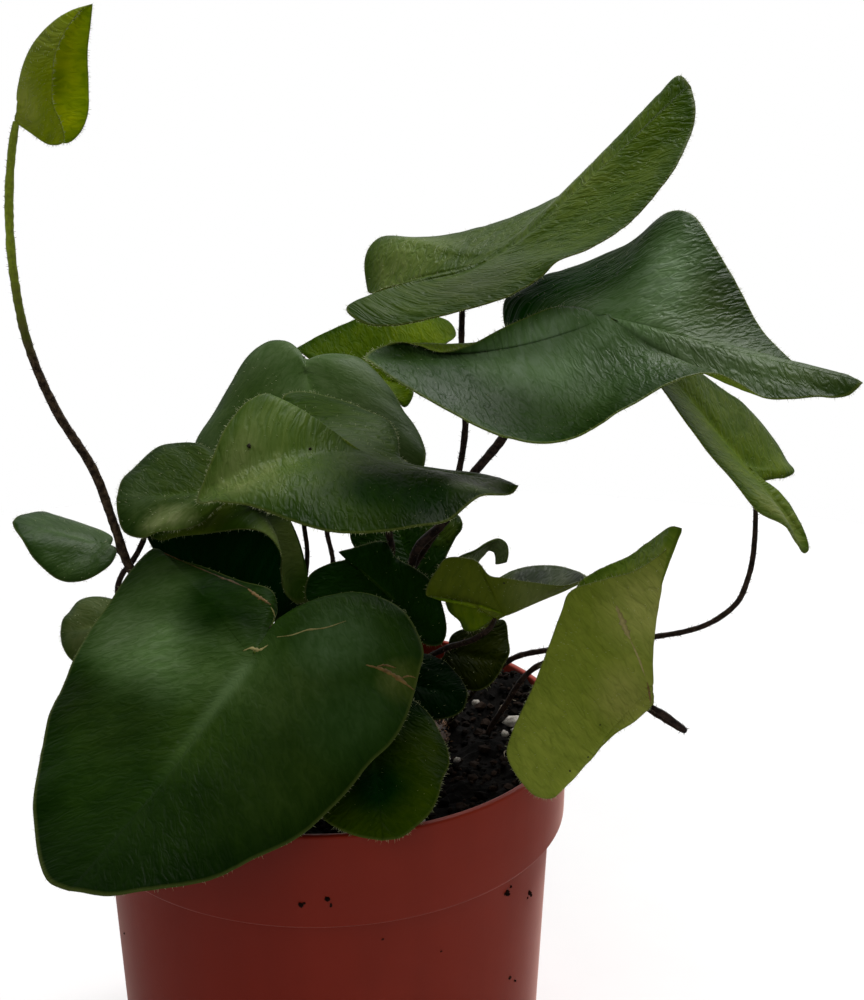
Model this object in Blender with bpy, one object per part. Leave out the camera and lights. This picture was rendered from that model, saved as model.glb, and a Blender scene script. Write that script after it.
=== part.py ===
"""A heart fern in its nursery pot, life size, in metres, +Z up, origin at the middle of the pot's base.

The plant is laid out on a perspective drawing: a sheet that stands SHEET_REACH from the eye.
A place on the drawing is (across, up, near) in millimetres: across and up on the sheet, from
the point that the eye looks at, and near from the sheet towards the eye.
"""

import math
import random

import bmesh
import bpy
import numpy as np
from mathutils import Vector

MM = 0.001

# Pot, in millimetres
POT_HEIGHT = 78.0
RIM_RADIUS = 45.0
RIM_DEPTH = 17.0
RIM_TAPER = 0.25
BODY_RADIUS = 42.1
BASE_RADIUS = 39.6
BASE_ROUND = 0.9
WALL = 1.3
FLOOR = 1.6
LIP_ROUND = 0.5
SIDES = 40
DRAIN_RADIUS = 3.0
DRAIN_CIRCLE = 24.0
DRAIN_COUNT = 6

# Soil, in millimetres
CLEARANCE = 0.3
SOIL_DEPTH_BELOW_RIM = 4.0
SOIL_RINGS = 7
SOIL_LUMP = 0.9

# Fronds, in millimetres
BLADE_THICK = 0.6
MARGIN_STEP = 7.0
HUB_SHARE = 0.12
JOINT_GAP = 0.72
FOOT_DEPTH = 6.0
SOCKET_MARGIN = 0.45
TROUGH_MARGIN = 0.5
SOCKET_REACH = 13.0

# The drawing
SHEET_REACH = 300.0
EYE_BACK = 260.8
EYE_ABOVE_RIM = 121.0
EYE = np.array([0.0, -EYE_BACK, POT_HEIGHT + EYE_ABOVE_RIM])
LOOK_DOWN = math.radians(16.7)
LOOK_RIGHT = math.radians(4.3)

FORWARD = np.array([
    math.sin(LOOK_RIGHT) * math.cos(LOOK_DOWN),
    math.cos(LOOK_RIGHT) * math.cos(LOOK_DOWN),
    -math.sin(LOOK_DOWN),
])
ACROSS = np.array([math.cos(LOOK_RIGHT), -math.sin(LOOK_RIGHT), 0.0])
UPWARD = np.cross(ACROSS, FORWARD)

SOIL_TOP = POT_HEIGHT - SOIL_DEPTH_BELOW_RIM

# Each frond: the joint of stipe and blade, the tip, and the margin on either side between them,
# anticlockwise as seen from above the blade. rib_bow moves the middle of the midrib, bulge arches
# each half, foot is where the stipe enters the soil (east, north of the pot's axis), width is the
# stipe's at the foot and at the joint, and stipe is its route down from the joint. rings and steps
# set how finely the blade and the stipe are divided, and joint_gap how near the stipe comes.
FRONDS = {
    # The tall young frond on the left, still half folded
    "young": dict(
        joint=(-83.2, 75.6, 40), tip=(-68.0, 99.2, 40), rib_bow=(-3.0, 2.7, 0), bulge=(0, 0),
        side_1=[(-80, 74.4, 39), (-76.4, 72.4, 37.5), (-73, 71.5, 37), (-70.6, 73.4, 36.5),
                (-69, 77, 36), (-68.8, 82.4, 35.5), (-69, 89.6, 36.5), (-68.4, 95.2, 38.5)],
        side_2=[(-80.6, 73.8, 41), (-76.4, 71.2, 43), (-73.4, 72, 46), (-74, 75.6, 47),
                (-75.6, 79.2, 47), (-76, 84.2, 46.5), (-75.2, 89, 45), (-73, 94.2, 43),
                (-69.8, 98.4, 41)],
        foot=(-14, 2.2), width=(1.9, 1.5), joint_gap=0.3, rings=3, steps=22,
        stipe=[(-83.9, 71, 39.5), (-84.6, 60, 39), (-83.8, 46.2, 37), (-80.8, 31.2, 34),
               (-75.1, 17.8, 30), (-67.7, 6, 26), (-63.5, -5.2, 22.5), (-60.4, -13.6, 20),
               (-52, -25, 16)]),
    # The small low frond on the far left
    "left_low": dict(
        joint=(-64.4, -9.2, 14), tip=(-83.8, -4.4, 18), rib_bow=(0, 0, 0), bulge=(0.5, 0.5),
        side_1=[(-64, -7.4, 11), (-68.6, -5.2, 8), (-75.6, -3, 7.5), (-79.2, -2.6, 10),
                (-82.4, -3.2, 14)],
        side_2=[(-63.2, -9.8, 15.5), (-64.2, -12.6, 18), (-66.6, -14.6, 20), (-69.4, -15.9, 21),
                (-72.4, -16.2, 22), (-75.4, -15.4, 22), (-79, -12.2, 22), (-81.6, -8.6, 21),
                (-83.4, -5.6, 19)],
        foot=(-17.5, 4.5), width=(1.0, 0.8), rings=3, steps=12,
        stipe=[(-62.2, -10.8, 12), (-60, -15, 11), (-55, -25, 11)]),
    # The highest big frond, its tip raised to the right
    "top": dict(
        joint=(6, 43.6, 36), tip=(51.6, 82.8, 36), rib_bow=(0, -1.0, 0), bulge=(1.0, 0.5),
        side_1=[(1.6, 43, 38), (-6.2, 41.6, 42), (-12.6, 40.4, 46), (-16.1, 39.2, 48),
                (-17, 38, 50), (-15, 36.2, 52), (-11.8, 35, 53), (-4, 35.4, 54), (5.2, 37.8, 55),
                (14.8, 40.8, 55), (21.6, 44.8, 54), (24.6, 47.8, 54), (30.6, 50, 53),
                (35.2, 52.2, 52), (40.4, 56.4, 50), (45, 61.4, 48), (48.4, 66, 46),
                (51.2, 72.2, 42), (52.6, 78, 39)],
        side_2=[(-0.4, 44, 33), (-8, 42.6, 28), (-12.6, 41.6, 24), (-13.3, 46.2, 21),
                (-12.3, 50.4, 19), (-10, 52.4, 18), (-4, 52.5, 18), (1.6, 52.7, 18),
                (8.2, 54, 18), (15.4, 56.2, 18.5), (22.2, 59.1, 19), (27.5, 61.9, 20),
                (32.8, 66.5, 21.5), (37.8, 72.2, 24), (42.9, 77.8, 28), (47.4, 82.7, 32),
                (49.6, 84.8, 34)],
        foot=(6.2, 1.6), width=(1.4, 1.1), rings=3, steps=18,
        stipe=[(6.0, 37.4, 35.5), (5.9, 31, 35), (6.7, 15.4, 32), (5.2, 5, 30), (2.2, -4.2, 26.5),
               (-1.6, -10, 24.5), (-5, -16, 22)]),
    # The big dark frond on the upper right, folded like a saddle
    "upper_right": dict(
        joint=(28.6, 38.4, 45), tip=(86, 23.2, 60), rib_bow=(0, 0, 0), bulge=(-3.2, 1.0),
        side_1=[(24.6, 38.4, 47), (19.6, 36.6, 49), (14.4, 34.4, 51), (7, 30.6, 54),
                (1.6, 29.4, 55), (-3, 30.8, 54), (-7.8, 31.2, 54), (-11, 30.2, 55),
                (-13.4, 28.4, 59), (-12, 27.4, 62), (-6.4, 23.6, 64), (-1, 20.6, 65),
                (5, 17.2, 66), (9.6, 14.6, 67), (15, 12.3, 68), (21.6, 11, 68),
                (28.4, 12.1, 67), (33.8, 15.1, 66), (39, 18.6, 64), (45, 22, 62),
                (51.2, 24.6, 60), (54.6, 25.4, 59), (57.8, 25.1, 58.5), (61.8, 23.1, 59),
                (66.4, 20.6, 60), (71.2, 20, 60.5), (77.2, 20.7, 61), (83.2, 20.9, 60.5)],
        side_2=[(25, 37.6, 42), (19.6, 35.6, 37), (15, 34.2, 33), (14.2, 36.6, 31),
                (14.8, 40.4, 29), (18.6, 42.8, 27), (22, 44.6, 26), (28.4, 46.4, 26),
                (35, 49, 27), (40.4, 52, 29), (45, 56, 32), (47.4, 57.4, 34), (49.8, 57.6, 36),
                (52.2, 56.6, 38), (54.2, 54, 40), (57.2, 49.4, 42), (60.4, 44, 44),
                (64.4, 36.6, 47), (67.2, 32.6, 49), (71.2, 28.5, 52), (75.2, 25.7, 54),
                (81.8, 24.9, 57.5)],
        foot=(13.5, -1.6), width=(1.8, 1.5), rings=3, steps=18,
        stipe=[(24, 30, 43), (14.3, 12.6, 40), (8.1, 5, 36), (2.4, -4.4, 31.5), (-2.4, -9, 29),
               (-4, -12.6, 27.5)]),
    # The frond in the middle, its near lobe spread to the left
    "middle": dict(
        joint=(-16.4, 9.6, 50), tip=(17.1, 3, 66), rib_bow=(0, 0, 0), bulge=(2.5, -1.0),
        side_1=[(-20.4, 10.4, 51), (-26.4, 14.2, 52), (-30.2, 18.8, 53), (-32.8, 21, 54),
                (-36.8, 19.6, 56), (-39.6, 16.6, 58), (-41.8, 13.2, 60), (-43.6, 8.8, 62),
                (-45.4, 4.2, 64), (-46.9, -0.4, 66), (-42.6, -0.6, 69), (-33.8, -1.8, 72),
                (-24.6, -5.4, 74), (-18.2, -6.4, 75), (-11.4, -6.2, 75.5), (-4.4, -5.6, 76),
                (2.4, -4.2, 75), (9.6, 1, 71.5), (16, 1.6, 67)],
        side_2=[(-19.4, 10.2, 46), (-25, 14.2, 42), (-29.4, 17.4, 40), (-29.6, 20.6, 38),
                (-25.4, 21.6, 36), (-20.4, 20.6, 35), (-16.2, 19.2, 35), (-12.6, 17.8, 36),
                (-9.4, 16.4, 37.5), (-7.8, 14.6, 39), (-6.8, 11.8, 42), (-6.4, 8.8, 45),
                (-4.4, 7.4, 48), (-0.4, 6.4, 51), (5.6, 5.1, 55), (9.4, 4.6, 58), (14, 4.3, 62)],
        foot=(-3.5, -1.2), width=(1.5, 1.2), rings=3, steps=16,
        stipe=[(-16.6, 4.6, 48.5), (-14, 0, 41), (-8.9, -3, 33), (-8.6, -6.6, 29.5),
               (-8.2, -12, 26.5)]),
    # The round frond at the left, under the middle one
    "left": dict(
        joint=(-39.4, 2, 24), tip=(-63, 0.2, 24), rib_bow=(0, 0, 0), bulge=(0.6, 1.5),
        side_1=[(-38.6, 6, 20), (-43.8, 9.8, 16), (-46.8, 11, 14), (-51.6, 11.2, 12),
                (-54.8, 10.6, 13), (-58.8, 7.4, 16), (-61.8, 4, 20)],
        side_2=[(-40.4, 0.4, 26), (-43.6, -2, 28), (-46, -4.4, 29), (-50.2, -5.9, 30),
                (-54.6, -6.2, 30), (-58.4, -7.4, 29.5), (-61.6, -6.2, 28), (-62.8, -2.6, 26)],
        foot=(-10.5, 3), width=(1.0, 0.9), rings=3, steps=14,
        stipe=[(-33, -1.8, 20), (-26.4, -3.2, 16.5), (-25.4, -6.6, 14.5), (-25, -12.6, 13)]),
    # The frond that hangs at the right on a long arching stipe
    "right_hanging": dict(
        joint=(65.2, 3.6, 40), tip=(44, 29.6, 42), rib_bow=(0, 0, 0), bulge=(0.6, 0.6),
        side_1=[(68.6, 4.4, 37), (70.8, 4.6, 35), (72.4, 5.8, 33), (71, 7.6, 31), (69.4, 10.4, 30),
                (67.4, 13.4, 30), (64.8, 16.6, 30), (61.6, 19.4, 31), (58, 21.8, 32),
                (53.8, 25, 34), (49.6, 28.4, 37)],
        side_2=[(68.6, 1.8, 41), (71, -0.6, 42), (73, -3.8, 43.5), (74.6, -7, 45),
                (75.1, -10, 46), (74, -10.6, 47), (71.4, -5.4, 49), (66, -2.4, 51),
                (63.6, -0.2, 51), (58.8, 5.6, 51), (53.8, 11.2, 50), (49.8, 16.6, 49),
                (46.2, 22.2, 47), (43.6, 27, 44)],
        foot=(22.5, 1.8), width=(1.2, 0.9), rings=3, steps=24,
        stipe=[(64.8, -1, 38.5), (64.6, -6.6, 37), (64.1, -12, 36), (63.1, -16, 35),
               (61.4, -20, 34), (58.8, -22.6, 33), (55, -24.9, 31.5), (50.6, -26.3, 30),
               (44, -27.4, 28), (33.6, -28.8, 25), (23.2, -30, 22), (15.2, -32.2, 18.5)]),
    # A small frond behind the front one's left edge
    "left_small": dict(
        joint=(-62.8, -24.4, 10), tip=(-74.2, -26.8, 12), rib_bow=(0, 0, 0), bulge=(0.3, 0.3),
        side_1=[(-61.8, -21.6, 7), (-64.2, -19.8, 5), (-67.4, -19.4, 4), (-70.4, -20, 5),
                (-72.4, -22, 7), (-73.8, -24.4, 9.5)],
        side_2=[(-61.8, -27.4, 12), (-65.4, -31.4, 15), (-69.4, -33, 16), (-72.2, -31.8, 16),
                (-73.8, -29.2, 14.5)],
        foot=(-21, 2), width=(0.9, 0.8), rings=3, steps=10,
        stipe=[(-60, -25.4, 10), (-52, -31, 10)]),
    # The largest frond, which hangs over the rim at the front left
    "front": dict(
        joint=(-32, -25.6, 38), tip=(-72.6, -78.2, 73), rib_bow=(1.0, -1.0, 0), bulge=(1.5, 2.0),
        side_1=[(-31.2, -22.4, 33), (-32, -18.4, 31.5), (-38.4, -16.4, 29), (-46.4, -13.4, 26.5),
                (-52, -11.6, 25), (-55.4, -9.6, 24), (-58.8, -12.4, 25.5), (-64.8, -21.4, 30),
                (-69, -26.8, 34), (-73.4, -36.4, 41), (-76, -41.8, 45), (-78.6, -52.4, 53),
                (-79.4, -59, 58), (-79.6, -63.2, 61), (-78.4, -72.4, 68), (-76.4, -76.4, 71.5)],
        side_2=[(-30.4, -23.6, 36.5), (-27.2, -21.4, 35.5), (-23.4, -20, 35), (-19.2, -19, 35),
                (-15, -18.4, 35.5), (-10, -19.8, 37.5), (-5.8, -22.4, 40), (-3.2, -26.2, 42.5),
                (-1.8, -30.6, 45.5), (-2.6, -34.2, 48), (-5.2, -43.4, 54), (-8, -48.2, 57.5),
                (-12.4, -52.6, 60), (-16.6, -57.8, 63), (-20.8, -62.2, 65.5), (-26.2, -67, 68),
                (-36.8, -72.4, 71), (-45, -76, 73), (-55.6, -78, 74.5), (-64.8, -78.9, 75)],
        foot=(-8, -1), width=(1.8, 1.5), rings=3, steps=12,
        stipe=[(-31, -29, 32.4), (-25, -36, 23)]),
    # The frond at the front right, folded shut, with its underside to the front
    "right_front": dict(
        joint=(44, -41.4, 52), tip=(50, -5.9, 50), rib_bow=(-2, 0, 2), bulge=(1.0, 0),
        side_1=[(40.4, -44.3, 52.5), (36.6, -46.6, 52), (33.2, -49.6, 51), (30.6, -53, 50.5),
                (27.2, -56.8, 50.5), (24.2, -59.5, 51), (20.6, -59, 50), (18.4, -56.8, 49),
                (15.8, -53, 48), (15, -50.4, 47.5), (16, -46.8, 47), (19.6, -38.8, 47),
                (23, -30.4, 48), (26, -22.4, 49), (27.2, -19, 49), (29, -17.6, 49.5),
                (31.4, -16.8, 50), (35.6, -15.6, 51), (40, -14.4, 52), (45, -11.4, 52),
                (48, -9, 51)],
        side_2=[(42, -42, 50), (38, -44, 46), (33, -46, 43), (29, -44, 40), (26.5, -38, 38),
                (26, -30, 37), (27.4, -22, 37), (29.4, -16.8, 38), (32.4, -14.8, 39),
                (35.6, -13, 40.5), (39.4, -11, 42), (43.2, -8.4, 44.5), (46.2, -6.4, 47),
                (48.2, -5.5, 49)],
        foot=(30, -2), width=(1.1, 1.1), rings=3, steps=26,
        stipe=[(46.4, -42.9, 52.5), (49.2, -45, 51.5), (50.4, -46, 49), (48.8, -45.2, 46),
               (43, -41.6, 38), (34, -36, 30), (27, -32.6, 26), (22.6, -32.6, 24.5),
               (18.8, -35, 22.5), (14.6, -41.2, 19)]),
    # The dark frond in the shade behind the front one's right lobe
    "inner_dark": dict(
        joint=(-4.8, -22.4, 33), tip=(-18.6, -10.4, 30), rib_bow=(0, 0, 0), bulge=(0.3, 0.3),
        side_1=[(-2, -28.4, 35), (1.6, -28.8, 34.5), (2.8, -26.4, 34), (2, -21, 32),
                (-0.4, -16.2, 31),
                (-4.2, -13.4, 30.5), (-7.2, -11.6, 30), (-9.4, -8.4, 29.5), (-13.4, -9, 29.5),
                (-16, -9.8, 29.8)],
        side_2=[(-4.4, -27, 36), (-9.4, -28.6, 37), (-15.4, -27.6, 36), (-21.4, -24.4, 34),
                (-25.2, -19.8, 31), (-24.4, -15.2, 29.3), (-20.6, -12.8, 29),
                (-17, -11.8, 29.6)],
        foot=(5.5, -2.8), width=(1.0, 0.9), rings=3, steps=12,
        stipe=[(-5, -25, 29), (-8, -34, 22)]),
    # The olive frond behind the thick stipe
    "inner_olive": dict(
        joint=(-2.8, -16.6, 17), tip=(-9.4, 1, 7), rib_bow=(0, 0, 0), bulge=(0.5, 0.5),
        side_1=[(-0.2, -17.6, 17.5), (1.8, -14.4, 16.5), (2.8, -11.2, 15), (4.6, -7.6, 13),
                (6, -5.2, 12), (4.8, -2.6, 10), (-0.4, -0.2, 8)],
        side_2=[(-5.4, -17, 17.5), (-9.4, -14, 15.5), (-13.2, -11.2, 13.5), (-15.4, -9.4, 12),
                (-16.4, -6.6, 10.5), (-16, -3, 9), (-13.2, 0, 7.5)],
        foot=(10, 2.6), width=(1.0, 0.9), rings=3, steps=10,
        stipe=[(-3.6, -20, 15.5), (-8, -32, 14)]),
    # The olive frond right of the middle, folded with its underside to the front
    "folded": dict(
        joint=(12.6, -23.8, 33), tip=(31.4, -16, 36), rib_bow=(-0.6, 0, 0), bulge=(0.4, 0.2),
        side_1=[(10.6, -22.6, 33.5), (6.6, -20.4, 34), (2.6, -20, 34), (-1, -19.2, 33),
                (-0.8, -17.2, 32.5), (0.8, -14.4, 32.5), (2.8, -11.8, 32.5), (6, -11.6, 33),
                (9.2, -12.4, 33.5), (11.6, -15.2, 35), (14.6, -15.7, 36), (19.6, -16.4, 37),
                (25.6, -17, 37.5)],
        side_2=[(11.2, -25, 31.5), (9, -26, 29.5), (6.6, -26, 28), (5.6, -24.2, 27),
                (3.4, -22, 26.5), (2.8, -18, 26), (4.6, -14, 26), (8.6, -13.6, 26),
                (12, -16, 26.5), (16, -14, 27), (19.6, -13.2, 27), (24.8, -13.2, 28),
                (28.4, -14, 31)],
        foot=(17.5, -1.4), width=(1.2, 1.0), rings=3, steps=14,
        stipe=[(11.4, -25.8, 34.4), (8, -28, 32), (2, -30, 27.5), (-3, -34, 22)]),
    # The small dark olive frond over the soil, right of the middle
    "inner_right": dict(
        joint=(3, -30.4, 25), tip=(14.4, -32.8, 27), rib_bow=(0, 0, 0), bulge=(0.4, 0.4),
        side_1=[(1.6, -32.6, 26), (3.2, -35.4, 28), (6, -37.4, 29), (9.2, -38, 29.5),
                (11.8, -36.6, 29), (13.4, -34.6, 28)],
        side_2=[(4.2, -27, 23.5), (8.4, -25.4, 22), (12, -24.6, 21.5), (14.4, -24.2, 22),
                (15.2, -28, 24), (15.4, -30.6, 26)],
        foot=(14.5, 2.6), width=(0.9, 0.8), rings=3, steps=10,
        stipe=[(2.2, -33, 22), (0.5, -39, 17.5)]),
    # The smallest frond, dark, beside the front one's right edge
    "inner_small": dict(
        joint=(-7.4, -36, 33), tip=(7, -39.6, 37), rib_bow=(0, 0, 0), bulge=(0.4, 0.4),
        side_1=[(-8, -38.6, 34.5), (-6.4, -41.4, 36.5), (-3.4, -43.2, 38), (0.6, -43.8, 39),
                (4.6, -43, 39), (6.4, -41.6, 38)],
        side_2=[(-7.6, -33.6, 31.5), (-5, -31.4, 30), (-1.4, -30.8, 29.5), (2.6, -32.6, 31),
                (5.4, -35.2, 33), (6.8, -37.8, 35.5)],
        foot=(9.5, -3.4), width=(0.9, 0.8), rings=3, steps=10,
        stipe=[(-9, -38.4, 29)]),
    # The frond that leans over the rim at the front
    "over_rim": dict(
        joint=(-12.4, -40, 40), tip=(-10, -68, 61.5), rib_bow=(0, 0, 0), bulge=(1.0, 1.0),
        side_1=[(-15.4, -42, 42), (-19.4, -48, 46.5), (-22, -54.6, 51.5), (-22.8, -60, 56),
                (-21.6, -63.6, 58.5), (-18.6, -65.8, 60), (-14.6, -67.3, 61)],
        side_2=[(-9.4, -38.6, 40), (-4.4, -40, 42), (-0.4, -43.2, 45), (1.6, -47, 48),
                (3, -50.4, 51), (3.3, -52.8, 53), (1.9, -56, 56), (1.1, -59.4, 58.5),
                (-0.6, -62.8, 60), (-3.4, -65.4, 61), (-6.2, -67.3, 61.5)],
        foot=(1.5, -3.2), width=(1.0, 0.9), rings=3, steps=10,
        stipe=[(-13.6, -42, 33)]),
    # The grey green frond at the back left, its two lobes upward
    "back_left": dict(
        joint=(-25.8, 28.6, 10), tip=(-20.4, 3, 27), rib_bow=(0, 0, 0), bulge=(1.5, 1.5),
        side_1=[(-27, 30.4, 8), (-29.4, 31.8, 6), (-32.4, 31.9, 5), (-34.8, 30.6, 4.5),
                (-37.4, 27.6, 5), (-40.4, 23, 6), (-44.4, 16, 8), (-47.2, 10.8, 10),
                (-46.4, 6.6, 13), (-41.4, 2.6, 18), (-31.4, 1, 24)],
        side_2=[(-24.8, 28.2, 10), (-22.4, 28.8, 9), (-19.4, 29.2, 9), (-16.4, 28.7, 9.5),
                (-14, 27.8, 10.5), (-11.4, 25.6, 12), (-8.4, 22, 14), (-6, 18.4, 16),
                (-3.4, 15, 18), (-1.8, 11.6, 20), (-1.4, 8.6, 22), (-2.6, 5, 24),
                (-9.4, 1.6, 26)],
        foot=(-6.5, 3.6), width=(1.0, 0.9), rings=3, steps=16,
        stipe=[(-25, 23, 5.5), (-22, 5, 14), (-21, -6.4, 16.5), (-19.8, -13.6, 16)]),
    # The yellow green frond furthest back
    "back_top": dict(
        joint=(-6.4, 23, 2), tip=(-27.2, 30.4, -4), rib_bow=(0, 0, 0), bulge=(1.0, 0.5),
        side_1=[(-3, 26, 2), (2.8, 31.2, -2), (4.7, 33.4, -6), (3.4, 35.6, -8), (-0.4, 37, -10),
                (-6.4, 38, -11), (-13.4, 36.8, -10), (-17.4, 35, -9), (-22.4, 32.8, -7)],
        side_2=[(-3.8, 22, 4), (-5.4, 18.6, 6), (-8, 20.6, 5), (-12.4, 22, 4), (-20.4, 25.4, 1)],
        foot=(-2, 3.4), width=(1.0, 0.9), rings=3, steps=14,
        stipe=[(-6.8, 18, 1), (-8, 5, 4), (-12, -12, 6)]),
    # The frond rolled like a hood behind the front one, its dark upper surface inside
    "hood": dict(
        joint=(-57.2, -6.8, 19), tip=(-24.4, -20, 22), rib_bow=(5, 12.4, -6), bulge=(-1.5, 0),
        side_1=[(-55.6, -10, 15), (-52, -16, 11), (-46, -21, 9), (-38, -24, 10), (-30, -24, 14)],
        side_2=[(-54.4, -8, 20.5), (-50.4, -7.1, 22.5), (-46.4, -6.6, 24), (-38.4, -5.8, 26),
                (-34, -6.4, 26.5), (-31.4, -8.2, 27), (-29.8, -11.2, 27), (-30, -15, 26.5),
                (-29.4, -18.4, 25.5), (-27, -20.6, 24)],
        foot=(-15.5, -1), width=(1.2, 1.1), rings=3, steps=14,
        stipe=[(-58.6, -10, 17.5), (-60.2, -12.6, 16.2), (-61.8, -14.6, 15.2),
               (-62.9, -17.8, 14.5), (-61.5, -23, 14.5), (-54, -31, 14)]),
}

# The narrow blade curled over at its end, behind the folded frond
CURL = dict(
    joint=(2.2, -16, 23.6),
    centre=[(2.6, -14.6, 24), (5.4, -12.6, 25), (8.2, -11.4, 26), (10.4, -9.6, 27), (12.4, -8.6, 28),
            (14, -9.4, 29), (14.4, -11, 29.5), (14.2, -12.6, 29.5)],
    half_width=3.1, across=[(-0.3, 0.5, 0.7), (0.05, 0.5, 0.7), (0.5, 0.15, 0.7)], foot=(18.5, 2.8), width=(0.9, 0.8), steps=12,
    stipe=[(1.6, -18, 22), (-3, -30, 16)])
CURL_STEPS = 12
CURL_ENDS = (0.06, 0.91)

# Rhizome: the creeping stem that the stipes rise from, in the part's own frame
RHIZOME_LINE = [(-24, 2.5), (-12, 1.5), (0, 0.5), (12, 0.0), (25, 1.0)]
RHIZOME_HALF_WIDTH = 5.6
RHIZOME_HALF_HEIGHT = 3.4
RHIZOME_SINK = 1.2
RHIZOME_SIDES = 12
RHIZOME_STEPS = 16
RHIZOME_KNOB = 0.12
RHIZOME_NOSE = 1.0

COLOURS = {
    "pot": ((0.27, 0.07, 0.035), 0.45),
    "soil": ((0.012, 0.009, 0.007), 0.95),
    "rhizome": ((0.02, 0.012, 0.008), 0.9),
    "stipe": ((0.012, 0.009, 0.008), 0.6),
    "stipe_young": ((0.10, 0.13, 0.02), 0.6),
    "blade": ((0.03, 0.075, 0.018), 0.4),
    "blade_light": ((0.14, 0.20, 0.02), 0.5),
}
LIGHT_BLADES = ("young", "back_top", "right_front")


def place(across, up, near):
    """The point of the part's frame, in millimetres, for a place on the drawing."""
    ray = FORWARD + across / SHEET_REACH * ACROSS + up / SHEET_REACH * UPWARD
    return EYE + (SHEET_REACH - near) * ray


def placed(points):
    return np.array([place(*point) for point in points])


def curve_through(points, steps):
    """The centripetal Catmull-Rom curve through points, each of its spans in its own steps."""
    points = np.asarray(points, float)
    ends = np.vstack([2 * points[0] - points[1], points, 2 * points[-1] - points[-2]])
    pieces = []
    for p0, p1, p2, p3, count in zip(ends, ends[1:], ends[2:], ends[3:], steps):
        t1 = np.linalg.norm(p1 - p0) ** 0.5
        t2 = t1 + np.linalg.norm(p2 - p1) ** 0.5
        t3 = t2 + np.linalg.norm(p3 - p2) ** 0.5
        t = np.linspace(t1, t2, count + 1)[:-1, None]
        a1 = (t1 - t) / t1 * p0 + t / t1 * p1
        a2 = (t2 - t) / (t2 - t1) * p1 + (t - t1) / (t2 - t1) * p2
        a3 = (t3 - t) / (t3 - t2) * p2 + (t - t2) / (t3 - t2) * p3
        b1 = (t2 - t) / t2 * a1 + t / t2 * a2
        b2 = (t3 - t) / (t3 - t1) * a2 + (t - t1) / (t3 - t1) * a3
        pieces.append((t2 - t) / (t2 - t1) * b1 + (t - t1) / (t2 - t1) * b2)
    return np.vstack(pieces + [points[-1:]])


def margin_line(points):
    """The curve through points, with every point kept and spans over MARGIN_STEP divided."""
    spans = np.linalg.norm(np.diff(points, axis=0), axis=1)
    return curve_through(points, np.ceil(spans / MARGIN_STEP).astype(int))


def spline(points, count):
    """count points, evenly spaced, along the curve through points."""
    dense = curve_through(points, [12] * (len(points) - 1))
    steps = np.linalg.norm(np.diff(dense, axis=0), axis=1)
    run = np.concatenate([[0], np.cumsum(steps)])
    at = np.linspace(0, run[-1], count)
    return np.column_stack([np.interp(at, run, dense[:, axis]) for axis in range(3)])


def blade_grid(frond):
    """Points of the blade's middle surface by ring and spoke. Ring 0 is the hub, near the joint."""
    rings = frond["rings"]
    out = margin_line(placed([frond["joint"]] + frond["side_1"] + [frond["tip"]]))
    back = margin_line(placed([frond["tip"]] + frond["side_2"][::-1] + [frond["joint"]]))
    margin = np.vstack([out[:-1], back[:-1]])
    turn = np.concatenate([np.linspace(0, 1, len(out))[:-1], np.linspace(1, 2, len(back))[:-1]])
    joint, tip = placed([frond["joint"], frond["tip"]])
    middle = 0.5 * (np.array(frond["joint"]) + np.array(frond["tip"]))
    rib_bow = place(*(middle + np.array(frond["rib_bow"]))) - place(*middle)
    hub = joint + HUB_SHARE * (tip - joint) + 4 * HUB_SHARE * (1 - HUB_SHARE) * rib_bow
    upper = np.cross(margin - hub, np.roll(margin, -1, axis=0) - hub).sum(axis=0)
    upper /= np.linalg.norm(upper)
    bulge = np.where(turn < 1, *frond["bulge"]) * np.sin(np.pi * (turn % 1))
    near_rib = np.cos(0.5 * np.pi * np.minimum(np.abs(turn - 1), 1)) ** 4
    share = np.linspace(0, 1, rings + 1)[:, None, None]
    arch = 4 * share * (1 - share)
    bow = upper * bulge[:, None] + rib_bow * near_rib[:, None]
    return hub + (margin - hub) * share + bow * arch


def material(name):
    found = bpy.data.materials.get(name)
    if found:
        return found
    colour, roughness = COLOURS[name]
    made = bpy.data.materials.new(name)
    made.use_nodes = True
    shader = made.node_tree.nodes["Principled BSDF"]
    shader.inputs["Base Color"].default_value = (*colour, 1)
    shader.inputs["Roughness"].default_value = roughness
    made.diffuse_color = (*colour, 1)
    return made


def add_object(name, data, material_name, parent=None):
    piece = bpy.data.objects.new(name, data)
    bpy.context.scene.collection.objects.link(piece)
    piece.data.materials.append(material(material_name))
    piece.parent = parent
    return piece


def mesh_of(name, points, faces):
    """A mesh from points in millimetres, with every face split into triangles."""
    mesh = bpy.data.meshes.new(name)
    mesh.from_pydata([Vector(point) * MM for point in points], [], faces)
    shape = bmesh.new()
    shape.from_mesh(mesh)
    bmesh.ops.triangulate(shape, faces=shape.faces)
    shape.to_mesh(mesh)
    shape.free()
    mesh.shade_smooth()
    return mesh


def add_mesh(name, points, faces, material_name, parent=None):
    return add_object(name, mesh_of(name, points, faces), material_name, parent)


def thicken(sheet):
    """Turns an open sheet into a blade of even thickness."""
    solid = sheet.modifiers.new("thickness", "SOLIDIFY")
    solid.thickness = BLADE_THICK * MM
    solid.offset = 0


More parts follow.
